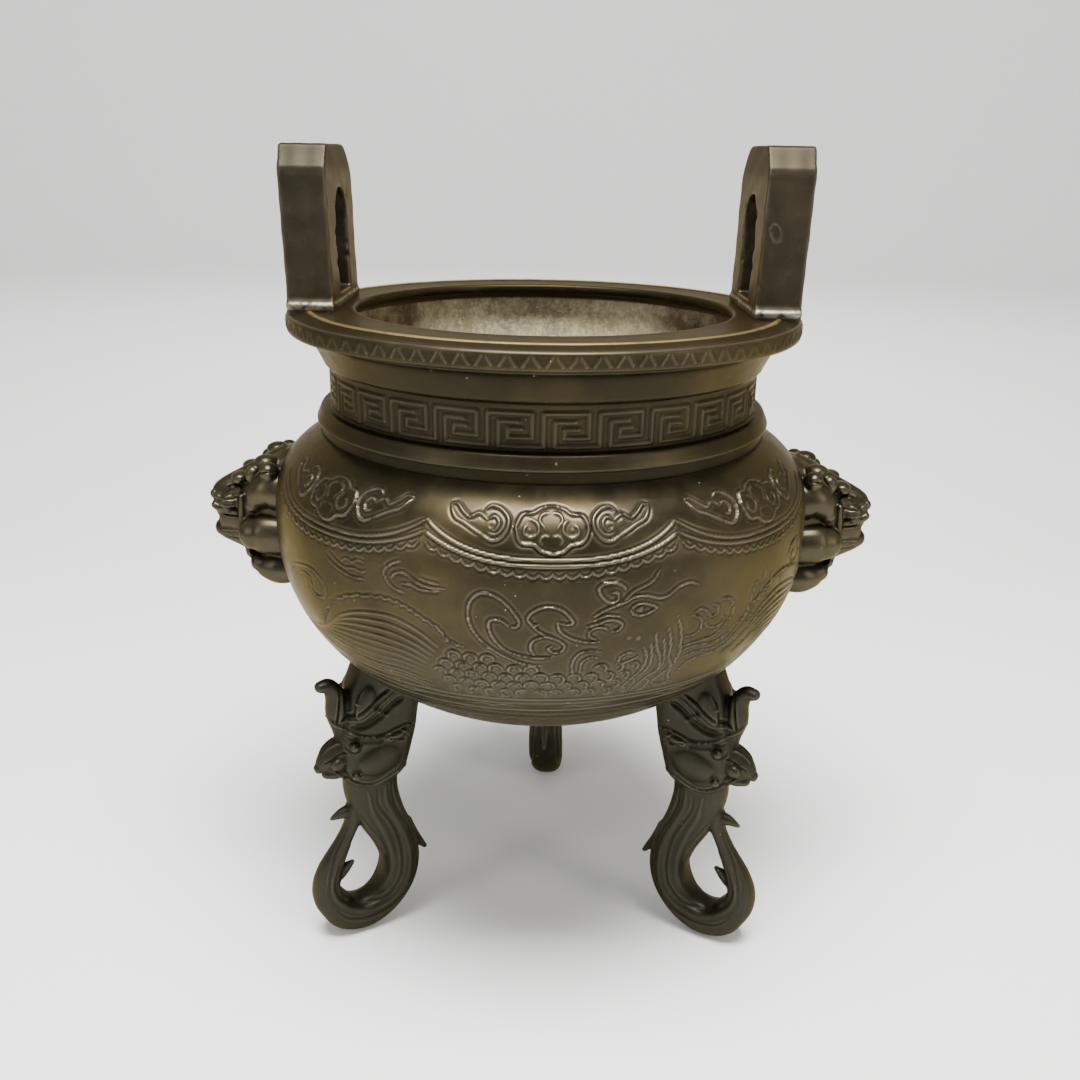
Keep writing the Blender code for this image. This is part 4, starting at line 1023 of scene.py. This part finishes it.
def limb(bm, stations, depth, across=0.0, sides=20, steps=5, square=2.0):
    """A tapering limb through (x, z, half width) stations in mm, as deep across as depth says."""
    points = curve(stations, steps)
    frames = []
    for index, (x, z, half) in enumerate(points):
        before, after = points[max(index - 1, 0)], points[min(index + 1, len(points) - 1)]
        along = Vector((after[0] - before[0], 0.0, after[1] - before[1])).normalized()
        frames.append((Vector((x, across, z)), along, max(half, 0.2)))
    for end, way in ((0, -1.0), (-1, 1.0)):
        place, along, half = frames[end]
        caps = [
            (place + along * way * half * math.sin(math.radians(turn)), along, half * math.cos(math.radians(turn)))
            for turn in (30, 55, 75, 86)
        ]
        frames = caps[::-1] + frames if end == 0 else frames + caps
    tube(bm, [(place, along, half, depth(half)) for place, along, half in frames], sides, square)


def tube(bm, frames, sides, square):
    """Extrude a circle from frame to frame: a place, a direction, a half width and a half depth."""
    ring = bmesh.ops.create_circle(bm, cap_ends=True, segments=sides, radius=1.0)["verts"]
    for vert in ring:
        vert.co.x = math.copysign(abs(vert.co.x) ** (2.0 / square), vert.co.x)
        vert.co.y = math.copysign(abs(vert.co.y) ** (2.0 / square), vert.co.y)
    edges = [edge for edge in {e for vert in ring for e in vert.link_edges} if all(v in ring for v in edge.verts)]
    matrices = []
    for place, along, half, deep in frames:
        side = Vector((along.z, 0.0, -along.x))
        columns = (side * half * MM, Vector((0.0, deep * MM, 0.0)), along * MM, place * MM)
        matrices.append(Matrix([[*(column[row] for column in columns)] for row in range(3)] + [[0.0, 0.0, 0.0, 1.0]]))
    bmesh.ops.transform(bm, matrix=matrices[0], verts=ring)
    for low, high in zip(matrices, matrices[1:]):
        made = bmesh.ops.extrude_edge_only(bm, edges=edges)["geom"]
        ring = [item for item in made if isinstance(item, bmesh.types.BMVert)]
        edges = [item for item in made if isinstance(item, bmesh.types.BMEdge)]
        bmesh.ops.transform(bm, matrix=high @ low.inverted(), verts=ring)
    bmesh.ops.holes_fill(bm, edges=edges, sides=0)


def lump(bm, place, size, turn=0.0, subdivisions=4):
    """A ball squeezed to its half sizes in mm, turned about Y."""
    made = bmesh.ops.create_icosphere(bm, subdivisions=subdivisions, radius=1.0)["verts"]
    bmesh.ops.scale(bm, vec=Vector(size) * MM, verts=made)
    bmesh.ops.rotate(bm, cent=(0, 0, 0), matrix=Matrix.Rotation(math.radians(turn), 3, "Y"), verts=made)
    bmesh.ops.translate(bm, vec=Vector(place) * MM, verts=made)


def one_skin(name, bm, voxel):
    """Remesh everything in the bmesh into one closed skin."""
    bmesh.ops.recalc_face_normals(bm, faces=bm.faces)
    mesh = bpy.data.meshes.new(name)
    bm.to_mesh(mesh)
    bm.free()
    skin = with_modifiers(name, mesh, ("REMESH", {"mode": "VOXEL", "voxel_size": voxel * MM}))
    print(name, "skin:", len(skin.vertices), "points")
    return skin


def soften(mesh, rounds, share=0.5):
    for _ in range(rounds):
        places = points_of(mesh)
        move_points(mesh, places + share * (neighbours_mean(mesh, places) - places))


def rest_on_wall(mesh, sink=0.9):
    """Draw back what reaches deeper than that into the bowl's wall, along the way out of the wall."""
    places = points_of(mesh) / MM
    radius = np.hypot(places[:, 0], places[:, 1])
    nearest = np.full(len(places), 1e9)
    best_radius = np.zeros(len(places))
    best_level = np.zeros(len(places))
    levels = np.interp(np.linspace(0.0, table_lengths[-1], 160), table_lengths, table_levels)
    slope_r = np.gradient(wall_radius(levels))
    slope_z = np.gradient(levels)
    size = np.hypot(slope_r, slope_z)
    for level, wall, run_r, run_z in zip(levels, wall_radius(levels), slope_r / size, slope_z / size):
        gap = np.hypot(radius - wall, places[:, 2] - level)
        closer = gap < nearest
        nearest = np.where(closer, gap, nearest)
        best_radius = np.where(closer, wall - run_z * sink, best_radius)
        best_level = np.where(closer, level + run_r * sink, best_level)
    inside = (radius < wall_radius(places[:, 2])) & (places[:, 2] > FOOT_LEVEL) & (nearest > sink)
    share = best_radius / np.maximum(radius, 1e-6)
    for axis in range(2):
        places[:, axis] = np.where(inside, places[:, axis] * share, places[:, axis])
    places[:, 2] = np.where(inside, best_level, places[:, 2])
    move_points(mesh, places * MM)


def carve_side(mesh, draw, least=0.25):
    """Carve strokes, drawn in the XZ plane, on both flat sides of a piece."""
    places = points_of(mesh) / MM
    normals = normals_of(mesh)
    carving = Carving(places[:, 0], places[:, 2], 1.0)
    draw(carving)
    facing = np.clip((np.abs(normals[:, 1]) - least) / 0.3, 0.0, 1.0)
    move_points(mesh, (places + normals * (carving.relief() * facing)[:, None]) * MM)


print("limbs and lumps are ready")

# %% [markdown]
# ## Legs
# Each leg is a beast's head on a long neck that curls outwards and closes into a ring, so the foot
# is the bottom of the curl. It is drawn in its own plane, as distance from the bowl's axis and
# height. The neck has long folds that follow the curl. One leg is made and turned to three places.

# %% The leg's limbs
TRUNK = ((70.0, 80.0, 9.6), (72.4, 69.0, 10.4), (72.0, 60.0, 10.0), (68.8, 49.5, 9.0), (64.4, 39.0, 8.2), (61.8, 28.0, 7.6),
         (63.6, 18.4, 7.2), (69.6, 10.6, 7.0), (77.6, 7.1, 6.9), (85.4, 9.0, 6.6), (90.2, 15.4, 6.0))
TAIL = ((86.0, 10.4, 6.0), (90.4, 15.8, 6.0), (92.0, 22.6, 5.2), (90.6, 29.6, 4.2), (86.8, 37.0, 3.3), (83.0, 44.0, 2.7), (80.2, 50.0, 2.8), (78.6, 56.0, 3.6))
HORN = ((83.6, 87.0, 1.8), (83.2, 92.0, 3.2), (84.0, 98.5, 4.2), (84.4, 105.5, 3.7), (86.6, 110.2, 2.9), (89.6, 110.6, 2.3))
HEAD_BLOCK = ((124.0, 54.0, 72.0, 8.4), (116.0, 52.6, 77.0, 8.8), (108.0, 52.4, 80.2, 9.0), (101.0, 53.0, 81.4, 9.2), (93.0, 54.2, 83.0, 9.3),
              (87.5, 55.0, 84.6, 9.4), (82.0, 56.4, 85.0, 9.2), (77.0, 57.8, 84.6, 9.2), (73.0, 59.0, 82.6, 9.0), (70.4, 60.8, 80.4, 8.6), (68.0, 64.0, 77.4, 7.4))
BEAK = ((79.0, 82.6, 6.6), (84.6, 81.0, 6.2), (88.4, 79.0, 5.2), (90.8, 77.6, 3.4), (92.0, 76.8, 2.0))
LEG_HEIGHT_SHARE = 0.96614
LEG_SINK = 0.5
LEG_AZIMUTHS = {"leg_front_left": -60.0, "leg_front_right": 60.0, "leg_back": 176.0}


def leg_depth(half):
    return min(7.5, 0.9 * half + 1.2)


def spur(bm, root, tip, half, bend=0.0):
    """A pointed thorn that bends a little."""
    middle = ((root[0] + tip[0]) / 2 + bend, (root[1] + tip[1]) / 2 + bend, 0.68 * half)
    limb(bm, ((*root, half), middle, (*tip, 0.28 * half)), lambda wide: 0.85 * wide, sides=12, steps=4)


def leg_lumps():
    bm = bmesh.new()
    limb(bm, TRUNK, leg_depth, sides=28, square=2.5)
    limb(bm, TAIL, lambda half: 0.9 * half + 1.2, sides=20, square=2.3)
    limb(bm, HORN, lambda half: 1.15 * half, sides=20)
    frames = []
    for height, low, high, deep in HEAD_BLOCK:
        frames.append((Vector(((low + high) / 2, 0.0, height)), Vector((0.0, 0.0, -1.0)), (high - low) / 2, deep))
    tube(bm, frames, 36, 3.4)
    limb(bm, BEAK, lambda half: 0.62 * half + 1.2, sides=20)
    limb(bm, ((83.0, 73.8, 3.0), (87.0, 73.6, 2.6), (89.4, 73.4, 1.8)), lambda half: 1.4 * half, sides=16)
    for side in (-1.0, 1.0):
        lump(bm, (71.6, side * 8.2, 79.4), (8.6, 3.0, 6.6), 12.0)
        lump(bm, (81.2, side * 9.4, 87.6), (1.8, 2.2, 1.8))
        lump(bm, (86.0, side * 5.4, 79.6), (3.0, 1.8, 2.6))
        lump(bm, (80.9, side * 8.9, 74.6), (1.6, 1.7, 1.6))
        lump(bm, (75.8, side * 8.3, 103.6), (3.8, 1.8, 7.6), -14.0)
        lump(bm, (73.4, side * 8.7, 101.2), (8.4, 1.3, 1.2), -33.0)
        lump(bm, (65.0, side * 9.0, 88.4), (4.4, 1.9, 1.9), 14.0)
    spur(bm, (79.6, 54.2), (88.2, 53.0), 3.4, 0.5)
    spur(bm, (59.6, 41.6), (50.8, 27.6), 3.8, 0.9)
    spur(bm, (89.0, 26.4), (81.2, 30.6), 4.0, -0.2)
    return bm


# %% The leg's lines
# Each row is what the stroke does, its width, its height or depth, and its points
LEG_STROKES = (
    ("thread", 1.5, 0.8, ((89.5, 99.2), (87.3, 96.7), (84.0, 93.8), (79.4, 91.5), (74.0, 90.0), (69.8, 89.8), (66.1, 90.8), (61.4, 91.6), (56.0, 90.6))),
    ("groove", 2.6, 0.7, ((83.0, 90.6), (78.0, 88.6), (73.0, 87.4), (69.4, 87.4))),
    ("groove", 1.5, 1.0, ((86.0, 94.6), (84.9, 100.9), (83.3, 108.9), (81.8, 116.0))),
    ("groove", 1.9, 1.1, ((84.7, 96.6), (80.8, 99.2), (75.9, 102.7), (71.1, 106.0), (66.2, 108.7))),
    ("thread", 1.2, 0.5, ((83.9, 96.1), (78.5, 97.8), (73.6, 100.5), (69.4, 103.3), (65.0, 106.4))),
    ("groove", 4.0, 1.1, ((81.6, 94.6), (76.2, 95.2), (70.8, 97.7), (65.8, 101.7), (60.8, 103.7))),
    ("groove", 1.3, 0.6, ((84.1, 88.4), (83.4, 85.8), (81.2, 84.8), (79.0, 85.6), (78.2, 87.8), (78.8, 89.4))),
    ("thread", 1.0, 0.6, ((68.6, 90.1), (64.9, 91.2), (61.3, 89.0), (59.3, 85.6))),
    ("groove", 2.0, 1.0, ((68.4, 88.0), (64.6, 86.8), (61.0, 85.6))),
    ("thread", 1.1, 0.6, ((83.6, 87.0), (86.6, 86.0), (89.2, 84.7), (92.2, 82.0))),
    ("groove", 1.2, 0.7, ((83.0, 84.4), (87.0, 82.3), (91.0, 80.0))),
    ("groove", 1.0, 0.6, ((84.0, 76.8), (87.0, 76.6), (90.4, 76.2))),
    ("thread", 1.4, 0.7, ((87.7, 75.9), (84.9, 73.0), (81.4, 70.4), (76.7, 68.6), (73.0, 68.6), (69.2, 70.2), (66.1, 71.8), (63.6, 72.3), (60.0, 73.2))),
    ("groove", 1.6, 0.5, ((85.0, 75.8), (81.4, 73.0), (77.0, 71.0), (72.6, 71.2), (68.8, 73.0), (64.0, 75.0))),
    ("groove", 2.4, 0.5, ((72.5, 66.4), (72.3, 59.0), (69.1, 52.2), (66.1, 46.2), (63.8, 38.1), (63.1, 29.7), (64.3, 21.9), (67.7, 17.1), (73.0, 13.8), (79.4, 13.3), (85.0, 16.3), (88.4, 20.6))),
    ("thread", 3.6, 0.45, ((76.2, 65.7), (74.6, 55.5), (71.2, 47.2), (68.3, 38.2), (67.3, 30.4), (68.1, 23.3), (71.5, 18.6), (77.4, 16.3), (83.7, 17.3), (87.4, 21.4), (88.0, 27.0), (85.6, 34.0), (82.4, 41.0))),
    ("groove", 2.4, 0.6, ((66.4, 67.0), (66.0, 59.2), (63.2, 51.0), (60.0, 44.2), (57.6, 36.8), (56.6, 28.6), (58.2, 19.6), (62.4, 13.0), (69.0, 9.0), (77.6, 7.6), (85.6, 9.8), (91.0, 15.8))),
    ("thread", 3.4, 0.4, ((69.4, 66.3), (68.9, 58.6), (66.0, 51.2), (63.0, 44.4), (60.6, 36.2), (60.1, 27.8), (61.7, 19.4), (65.8, 14.1), (71.8, 11.1), (78.9, 10.5), (85.7, 14.3), (90.2, 19.9), (91.2, 26.3), (88.8, 33.4))),
    ("thread", 1.6, 0.35, ((79.1, 53.4), (75.0, 46.0), (71.3, 38.6), (69.8, 31.4), (71.0, 25.1), (74.6, 22.0), (80.3, 21.2), (85.2, 23.0))),
    ("groove", 1.6, 0.35, ((82.4, 49.8), (86.4, 42.6), (89.8, 35.6), (92.0, 29.0), (91.6, 22.2), (88.6, 17.2))),
)


def draw_leg(carving):
    for kind, width, height, points in LEG_STROKES:
        if kind == "thread":
            carving.thread(curve(points), width, height, 0.12, 0.08, soft=True)
        else:
            carving.groove(curve(points), width, height, 0.12)


def make_leg():
    mesh = one_skin("leg", leg_lumps(), 0.5)
    soften(mesh, 2)
    carve_side(mesh, draw_leg)
    places = points_of(mesh)
    places[:, 2] = np.maximum(places[:, 2] * LEG_HEIGHT_SHARE - LEG_SINK * MM, 0.0)
    move_points(mesh, places)
    # The leg stands along +X here, so the wall is cut back before the leg is turned
    rest_on_wall(mesh)
    mark_wear(mesh, 1.4)
    return thinned("leg", mesh, 84000)


leg_mesh = make_leg()
for leg_name, leg_azimuth in LEG_AZIMUTHS.items():
    turned_leg = leg_mesh.copy()
    turned_leg.transform(Matrix.Rotation(math.radians(leg_azimuth - 90.0), 4, "Z"))
    finished(leg_name + "_skin", turned_leg, leg_bronze, "dark_bronze", leg_name, angle=80.0)

# %% [markdown]
# ## Lion masks
# A mask is a lion's head that bites forwards out of the belly: a sloping brow that ends in a broad
# nose, an open mouth, and three thick locks of mane at each side, one over the other. It is
# drawn for +X with its own face looking out, and the other one is its mirror image.

# %% Masks
MASK_LEVEL = 158.2


def head_frames(rows):
    """Upright rings for (distance out, half width, top, low) rows. Heights are from the mask's middle."""
    return [
        (Vector((BELLY_RADIUS + out, 0.0, MASK_LEVEL + (top + low) / 2)), Vector((1.0, 0.0, 0.0)), (top - low) / 2, wide)
        for out, wide, top, low in rows
    ]


def beside_face(bm, stations, across, deep, sides=18):
    """A limb in the mask's plane, once at each side of the face."""
    moved = [(BELLY_RADIUS + out, MASK_LEVEL + up, half) for out, up, half in stations]
    for side in (-1.0, 1.0):
        limb(bm, moved, lambda half: deep * half, across=side * across, sides=sides)


# What both sides of the face have: eye, brow, cheek, nostril, ear, two curls of mane and two fangs
MASK_BUMPS = (
    ((16.6, 7.4, 12.2), (2.2, 2.2, 2.0)),
    ((13.2, 7.8, 15.4), (3.4, 4.6, 2.0)),
    ((18.4, 8.6, 5.6), (3.4, 2.0, 2.6)),
    ((24.4, 4.0, 7.4), (1.9, 2.5, 2.0)),
    ((7.4, 12.6, 17.4), (3.0, 2.8, 3.4)),
    ((3.0, 9.4, 21.6), (4.4, 4.4, 2.6)),
    ((0.6, 16.4, 19.6), (3.6, 4.0, 3.6)),
    ((21.4, 5.0, -3.4), (1.1, 1.2, 2.2)),
    ((23.2, 4.6, 1.4), (1.2, 1.3, 2.6)),
)


def mask_lumps():
    bm = bmesh.new()
    tube(bm, head_frames([(-9.0, 18.0, 26.4, -26.0), (-2.0, 17.4, 25.0, -25.6), (4.0, 15.6, 21.6, -22.6), (8.0, 13.2, 18.8, -17.6), (12.0, 11.6, 15.8, -14.8), (15.0, 9.6, 13.2, -12.6)]), 36, 2.6)
    tube(bm, head_frames([(2.0, 12.0, 21.2, -1.0), (9.0, 10.6, 17.0, 0.2), (14.0, 9.2, 14.2, 1.2), (19.0, 8.4, 11.8, 2.2), (22.6, 7.6, 10.2, 3.0), (24.8, 6.2, 9.2, 4.2), (25.6, 3.8, 8.2, 5.6)]), 32, 2.3)
    # The bridge of the nose, whose top is the line that the mask shows from the side
    tube(bm, head_frames([(-2.0, 5.4, 26.0, 14.0), (4.0, 4.8, 23.0, 12.0), (9.0, 3.8, 19.9, 10.0), (14.0, 3.4, 17.1, 8.0), (19.0, 3.8, 14.5, 6.0), (22.6, 4.6, 12.4, 5.0), (24.8, 4.6, 10.8, 4.6), (25.8, 3.2, 9.4, 5.6)]), 24, 2.2)
    tube(bm, head_frames([(4.0, 10.8, 4.0, -9.0), (14.0, 9.6, 4.2, -8.4), (22.0, 7.2, 4.4, -7.4), (23.2, 6.0, 4.2, -7.0)]), 24, 2.6)
    tube(bm, head_frames([(4.0, 12.0, -4.6, -18.6), (10.0, 10.6, -4.8, -15.6), (16.0, 8.8, -4.6, -13.0), (21.6, 7.0, -4.2, -10.8), (24.8, 5.4, -4.0, -9.0), (25.9, 3.2, -4.8, -7.8)]), 28, 2.6)
    # Three thick locks at each side, one over the other, and the slope of the brow above them
    beside_face(bm, ((-5.0, 11.6, 7.6), (1.6, 12.0, 7.2), (5.0, 9.6, 5.8), (7.4, 6.4, 3.4)), 13.6, 1.0, 28)
    beside_face(bm, ((-5.0, -4.8, 7.8), (1.6, -4.4, 8.0), (5.2, -4.4, 7.6), (7.2, -4.4, 6.6)), 14.2, 1.0, 28)
    beside_face(bm, ((-6.0, -18.6, 6.0), (0.0, -18.6, 6.6), (4.4, -18.0, 5.4), (7.2, -17.0, 3.8)), 11.4, 1.05, 28)
    beside_face(bm, ((12.6, 8.6, 1.1), (12.9, 2.0, 1.4), (12.5, -6.0, 1.5), (11.2, -14.0, 1.2)), 10.8, 1.6)
    beside_face(bm, ((19.4, 2.0, 1.3), (22.0, 2.4, 1.7), (24.2, 3.6, 1.5)), 6.2, 1.3)
    for side in (-1.0, 1.0):
        for (out, across, up), radii in MASK_BUMPS:
            lump(bm, (BELLY_RADIUS + out, side * across, MASK_LEVEL + up), radii)
    lump(bm, (BELLY_RADIUS + 21.4, 0.0, MASK_LEVEL - 3.2), (3.8, 3.4, 1.1))
    return bm


# Strokes on the mask's sides, as distance out and height from its middle
MASK_STROKES = (
    ("groove", 1.4, 0.8, ((-3.0, 20.6), (3.0, 20.0), (7.4, 16.6), (10.4, 11.0))),
    ("thread", 1.5, 0.7, ((11.2, 13.0), (14.0, 14.4), (17.2, 13.2), (19.4, 11.0))),
    ("groove", 1.3, 0.8, ((12.6, 10.6), (14.6, 12.4), (17.2, 11.6), (18.4, 9.4))),
    ("groove", 1.3, 0.8, ((13.0, 7.6), (17.0, 7.2), (20.6, 7.4), (23.4, 8.6))),
    ("thread", 1.3, 0.6, ((13.6, 4.6), (18.0, 4.4), (21.6, 4.6))),
    ("groove", 1.2, 0.8, ((14.0, 0.4), (18.0, 0.0), (21.8, 0.2))),
    ("thread", 1.2, 0.6, ((13.6, -5.8), (18.0, -6.0), (22.4, -6.2))),
    ("groove", 1.2, 0.6, ((13.6, -8.6), (17.6, -8.8), (21.4, -8.2))),
    ("groove", 1.2, 0.6, ((10.6, -12.0), (14.6, -11.8), (18.6, -10.6))),
)


def draw_mask(carving):
    for kind, width, height, points in MASK_STROKES:
        path = curve([(BELLY_RADIUS + out, MASK_LEVEL + up) for out, up in points])
        if kind == "thread":
            carving.thread(path, width, height, 0.2, 0.0, soft=True)
        else:
            carving.groove(path, width, height, 0.2)


mask_mesh = one_skin("mask", mask_lumps(), 0.52)
soften(mask_mesh, 2)
carve_side(mask_mesh, draw_mask, 0.1)
rest_on_wall(mask_mesh)
mark_wear(mask_mesh, 1.4)
mask_mesh = thinned("mask", mask_mesh, 50000)
for mask_name, mask_side in (("mask_left", -1.0), ("mask_right", 1.0)):
    side_mesh = mask_mesh.copy()
    if mask_side < 0:
        side_mesh.transform(Matrix.Diagonal((-1.0, 1.0, 1.0, 1.0)))
        side_mesh.flip_normals()
    finished(mask_name + "_skin", side_mesh, mask_bronze, "dark_bronze", mask_name, angle=80.0)

# %% [markdown]
# ## Handles
# A handle is a thick plate with a finger slot and cut corners. The front corner is a flat facet, the
# rear one is cut deeper. Its sides are flat, so the plate is extruded from its outline and bevelled.
# A fine remesh then lets the skin take what years have done: an oval scar, pits beside the slot, and
# an edge that is no longer quite straight.

# %% Handles
HANDLE_FOOT_LEVEL = 236.9
HANDLE_REACH = 85.8
HANDLE_DEPTH = 15.6
HANDLE_HALF = 24.5
HANDLE_LEAN = 1.2
SLOT_HALF = 10.5
SLOT_FOOT = 4.2
SLOT_HEIGHT = 34.4
HANDLE_HEIGHTS = {"handle_left": 52.4, "handle_right": 54.2}


def handle_outline(height):
    half = HANDLE_HALF
    return [(-half - 1.4, -2.6), (-half - 1.4, 1.6), (-half, 4.0), (-half, height - 9.4), (-half + 0.7, height - 7.0), (-half + 5.4, height - 0.4),
            (-half + 7.0, height), (half - 14.0, height), (half - 10.4, height - 1.0), (half - 5.6, height - 3.8), (half - 1.6, height - 7.6),
            (half, height - 11.0), (half, 4.0), (half + 1.4, 1.6), (half + 1.4, -2.6)]


def slot_outline():
    spring = SLOT_FOOT + SLOT_HEIGHT - SLOT_HALF
    head = [(SLOT_HALF * math.cos(math.radians(turn)), spring + SLOT_HALF * math.sin(math.radians(turn))) for turn in range(0, 181, 10)]
    return [(-SLOT_HALF, SLOT_FOOT), (SLOT_HALF, SLOT_FOOT)] + head


def plate(outline, low, high, lean):
    """A (y, height) outline in mm, extruded along X between two distances from the axis."""
    bm = bmesh.new()
    verts = [bm.verts.new(Vector((low + lean * max(0.0, up), across, HANDLE_FOOT_LEVEL + up)) * MM) for across, up in outline]
    face = bm.faces.new(verts)
    made = bmesh.ops.extrude_face_region(bm, geom=[face])["geom"]
    moved = [item for item in made if isinstance(item, bmesh.types.BMVert)]
    bmesh.ops.translate(bm, verts=moved, vec=((high - low) * MM, 0, 0))
    bmesh.ops.recalc_face_normals(bm, faces=bm.faces)
    return bm


def handle_skin(name, height):
    lean = HANDLE_LEAN / height
    inner = HANDLE_REACH - HANDLE_DEPTH
    solids = []
    for part, outline, low, high in (("plate", handle_outline(height), inner, HANDLE_REACH), ("slot", slot_outline(), inner - 4.0, HANDLE_REACH + 4.0)):
        bm = plate(outline, low, high, lean)
        mesh = bpy.data.meshes.new(part)
        bm.to_mesh(mesh)
        bm.free()
        solids.append(mesh)
    cutter = bpy.data.objects.new("slot", solids[1])
    bpy.context.scene.collection.objects.link(cutter)
    skin = with_modifiers(
        name,
        solids[0],
        ("BOOLEAN", {"operation": "DIFFERENCE", "solver": "EXACT", "object": cutter}),
        ("BEVEL", {"width": 0.9 * MM, "segments": 3, "limit_method": "ANGLE", "angle_limit": math.radians(20.0)}),
        ("REMESH", {"mode": "VOXEL", "voxel_size": 0.55 * MM}),
    )
    bpy.data.objects.remove(cutter, do_unlink=True)
    return skin


def weather_handle(mesh, side):
    """Scars and pits on the front face and along the slot, and a wavering surface."""
    soften(mesh, 1)
    places = points_of(mesh) / MM
    normals = normals_of(mesh)
    up = places[:, 2] - HANDLE_FOOT_LEVEL
    out = places[:, 0]
    front = (normals[:, 1] < -0.7) & (places[:, 1] < -20.0)
    lift = 0.07 * np.sin(out * 0.9 + 1.0) * np.sin(up * 0.23) + 0.05 * np.sin(up * 0.61 + places[:, 1] * 0.3)
    if side > 0:
        turn = math.radians(20.0)
        x, y = out - 75.0, up - 27.4
        oval = np.hypot((x * math.cos(turn) + y * math.sin(turn)) / 1.7, (y * math.cos(turn) - x * math.sin(turn)) / 2.9)
        lift = lift + np.where(front, 0.28 * np.exp(-(((oval - 1.0) / 0.22) ** 2)) - 0.2 * (oval < 0.85), 0.0)
    draw = np.random.default_rng(11 if side > 0 else 12)
    slot_side = (np.abs(places[:, 1]) < SLOT_HALF + 2.5) & (up > 6.0)
    for _ in range(20):
        spot = (draw.uniform(70.6, 85.4), draw.uniform(5.0, 46.0))
        size = draw.uniform(0.35, 0.8)
        gap = np.hypot(out - spot[0], up - spot[1]) / size
        lift = lift - np.where(front, 0.12 * np.exp(-(gap**2)), 0.0)
    for _ in range(34):
        spot = (draw.uniform(69.5, 73.5), draw.uniform(14.0, 38.0), draw.choice((-1.0, 1.0)) * draw.uniform(SLOT_HALF - 1.0, SLOT_HALF + 1.2))
        gap = np.sqrt((out - spot[0]) ** 2 + (up - spot[1]) ** 2 + (places[:, 1] - spot[2]) ** 2) / draw.uniform(0.6, 1.2)
        lift = lift - np.where(slot_side, 0.4 * np.exp(-(gap**2)), 0.0)
    # A bead of solder lies along the foot
    seam = np.exp(-(((up - 1.4) / 0.8) ** 2)) * (np.abs(normals[:, 2]) < 0.8)
    lift = lift + 0.25 * seam * (1.0 + 0.5 * np.sin(places[:, 1] * 1.7) * np.sin(out * 2.3))
    move_points(mesh, (places + normals * lift[:, None]) * MM)
    # What would reach into the rim rests on it
    places = points_of(mesh)
    places[:, 2] = np.maximum(places[:, 2], 235.3 * MM)
    move_points(mesh, places)


for handle_name, handle_height in HANDLE_HEIGHTS.items():
    handle_side = 1.0 if handle_name == "handle_right" else -1.0
    handle_mesh = handle_skin(handle_name, handle_height)
    weather_handle(handle_mesh, handle_side)
    if handle_side < 0:
        handle_mesh.transform(Matrix.Diagonal((-1.0, 1.0, 1.0, 1.0)))
        handle_mesh.flip_normals()
    mark_wear(handle_mesh, 0.9)
    handle_mesh = thinned(handle_name, handle_mesh, 40000)
    finished(handle_name + "_skin", handle_mesh, handle_bronze, "brown_bronze", handle_name, angle=80.0)

# %% [markdown]
# ## Studio
# Dark bronze shows its shape by what it reflects. A wide soft box above lights the shoulder, the rim
# and the tops of the handles, and two weaker ones at the sides draw the edges. The floor is a pale
# dish that curves up far away, so no horizon shows from any side.

# %% Floor and lights


def soft_box(name, place, aim, size, power, colour=(1.0, 1.0, 1.0)):
    data = bpy.data.lights.new(name, "AREA")
    data.shape = "RECTANGLE"
    data.size, data.size_y = size
    data.energy = power
    data.color = colour
    light = bpy.data.objects.new(name, data)
    light.location = place
    light.rotation_euler = (Vector(aim) - Vector(place)).to_track_quat("-Z", "Y").to_euler()
    bpy.context.scene.collection.objects.link(light)


def pale_floor():
    profile = [(0.0, 0.0), (2.6, 0.0)]
    profile += [(2.6 + 1.2 * math.sin(math.radians(turn)), 1.2 - 1.2 * math.cos(math.radians(turn))) for turn in range(10, 91, 10)]
    profile.append((3.8, 3.0))
    bm = bmesh.new()
    verts = [bm.verts.new((0.0, -radius, height - 0.0002)) for radius, height in profile]
    edges = [bm.edges.new(pair) for pair in zip(verts, verts[1:])]
    bmesh.ops.spin(bm, geom=verts + edges, cent=(0, 0, 0), axis=(0, 0, 1), angle=math.tau, steps=64, use_merge=True)
    bmesh.ops.remove_doubles(bm, verts=bm.verts, dist=0.0001)
    bmesh.ops.recalc_face_normals(bm, faces=bm.faces)
    mesh = bpy.data.meshes.new("floor")
    bm.to_mesh(mesh)
    bm.free()
    mesh.shade_smooth()
    finish = Finish("pale floor")
    finish.feed(finish.shader.inputs["Base Color"], (0.9, 0.9, 0.89))
    finish.shader.inputs["Roughness"].default_value = 0.9
    mesh.materials.append(finish.material)
    floor = bpy.data.objects.new("floor", mesh)
    bpy.context.scene.collection.objects.link(floor)
    floor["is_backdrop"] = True


pale_floor()
soft_box("overhead", (0.0, -0.25, 1.2), (0.0, 0.0, 0.15), (0.7, 0.45), 46.0)
soft_box("left", (-1.1, -0.9, 0.7), (0.0, 0.0, 0.15), (0.4, 0.9), 5.0)
soft_box("right", (1.1, -0.8, 0.6), (0.0, 0.0, 0.15), (0.4, 0.9), 6.0, (1.0, 0.95, 0.85))
soft_box("backdrop light", (0.0, 0.7, 1.5), (0.0, 3.4, 0.9), (1.6, 0.6), 60.0)
world = bpy.data.worlds.new("studio")
world.use_nodes = True
world.node_tree.nodes["Background"].inputs["Color"].default_value = (1.0, 1.0, 1.0, 1.0)
world.node_tree.nodes["Background"].inputs["Strength"].default_value = 0.38
bpy.context.scene.world = world
print("studio is lit")

# %% [markdown]
# ## Sizes
# The imported model's box and the dressed model's box are both printed, so they can be compared. The
# dressed model has to stay inside the imported model's box.

# %% Write the sizes and finish
scene_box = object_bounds()
for part, box in (("cad", cad_box), ("scene", scene_box)):
    print(part, [[round(value / MM, 1) for value in corner] for corner in box])
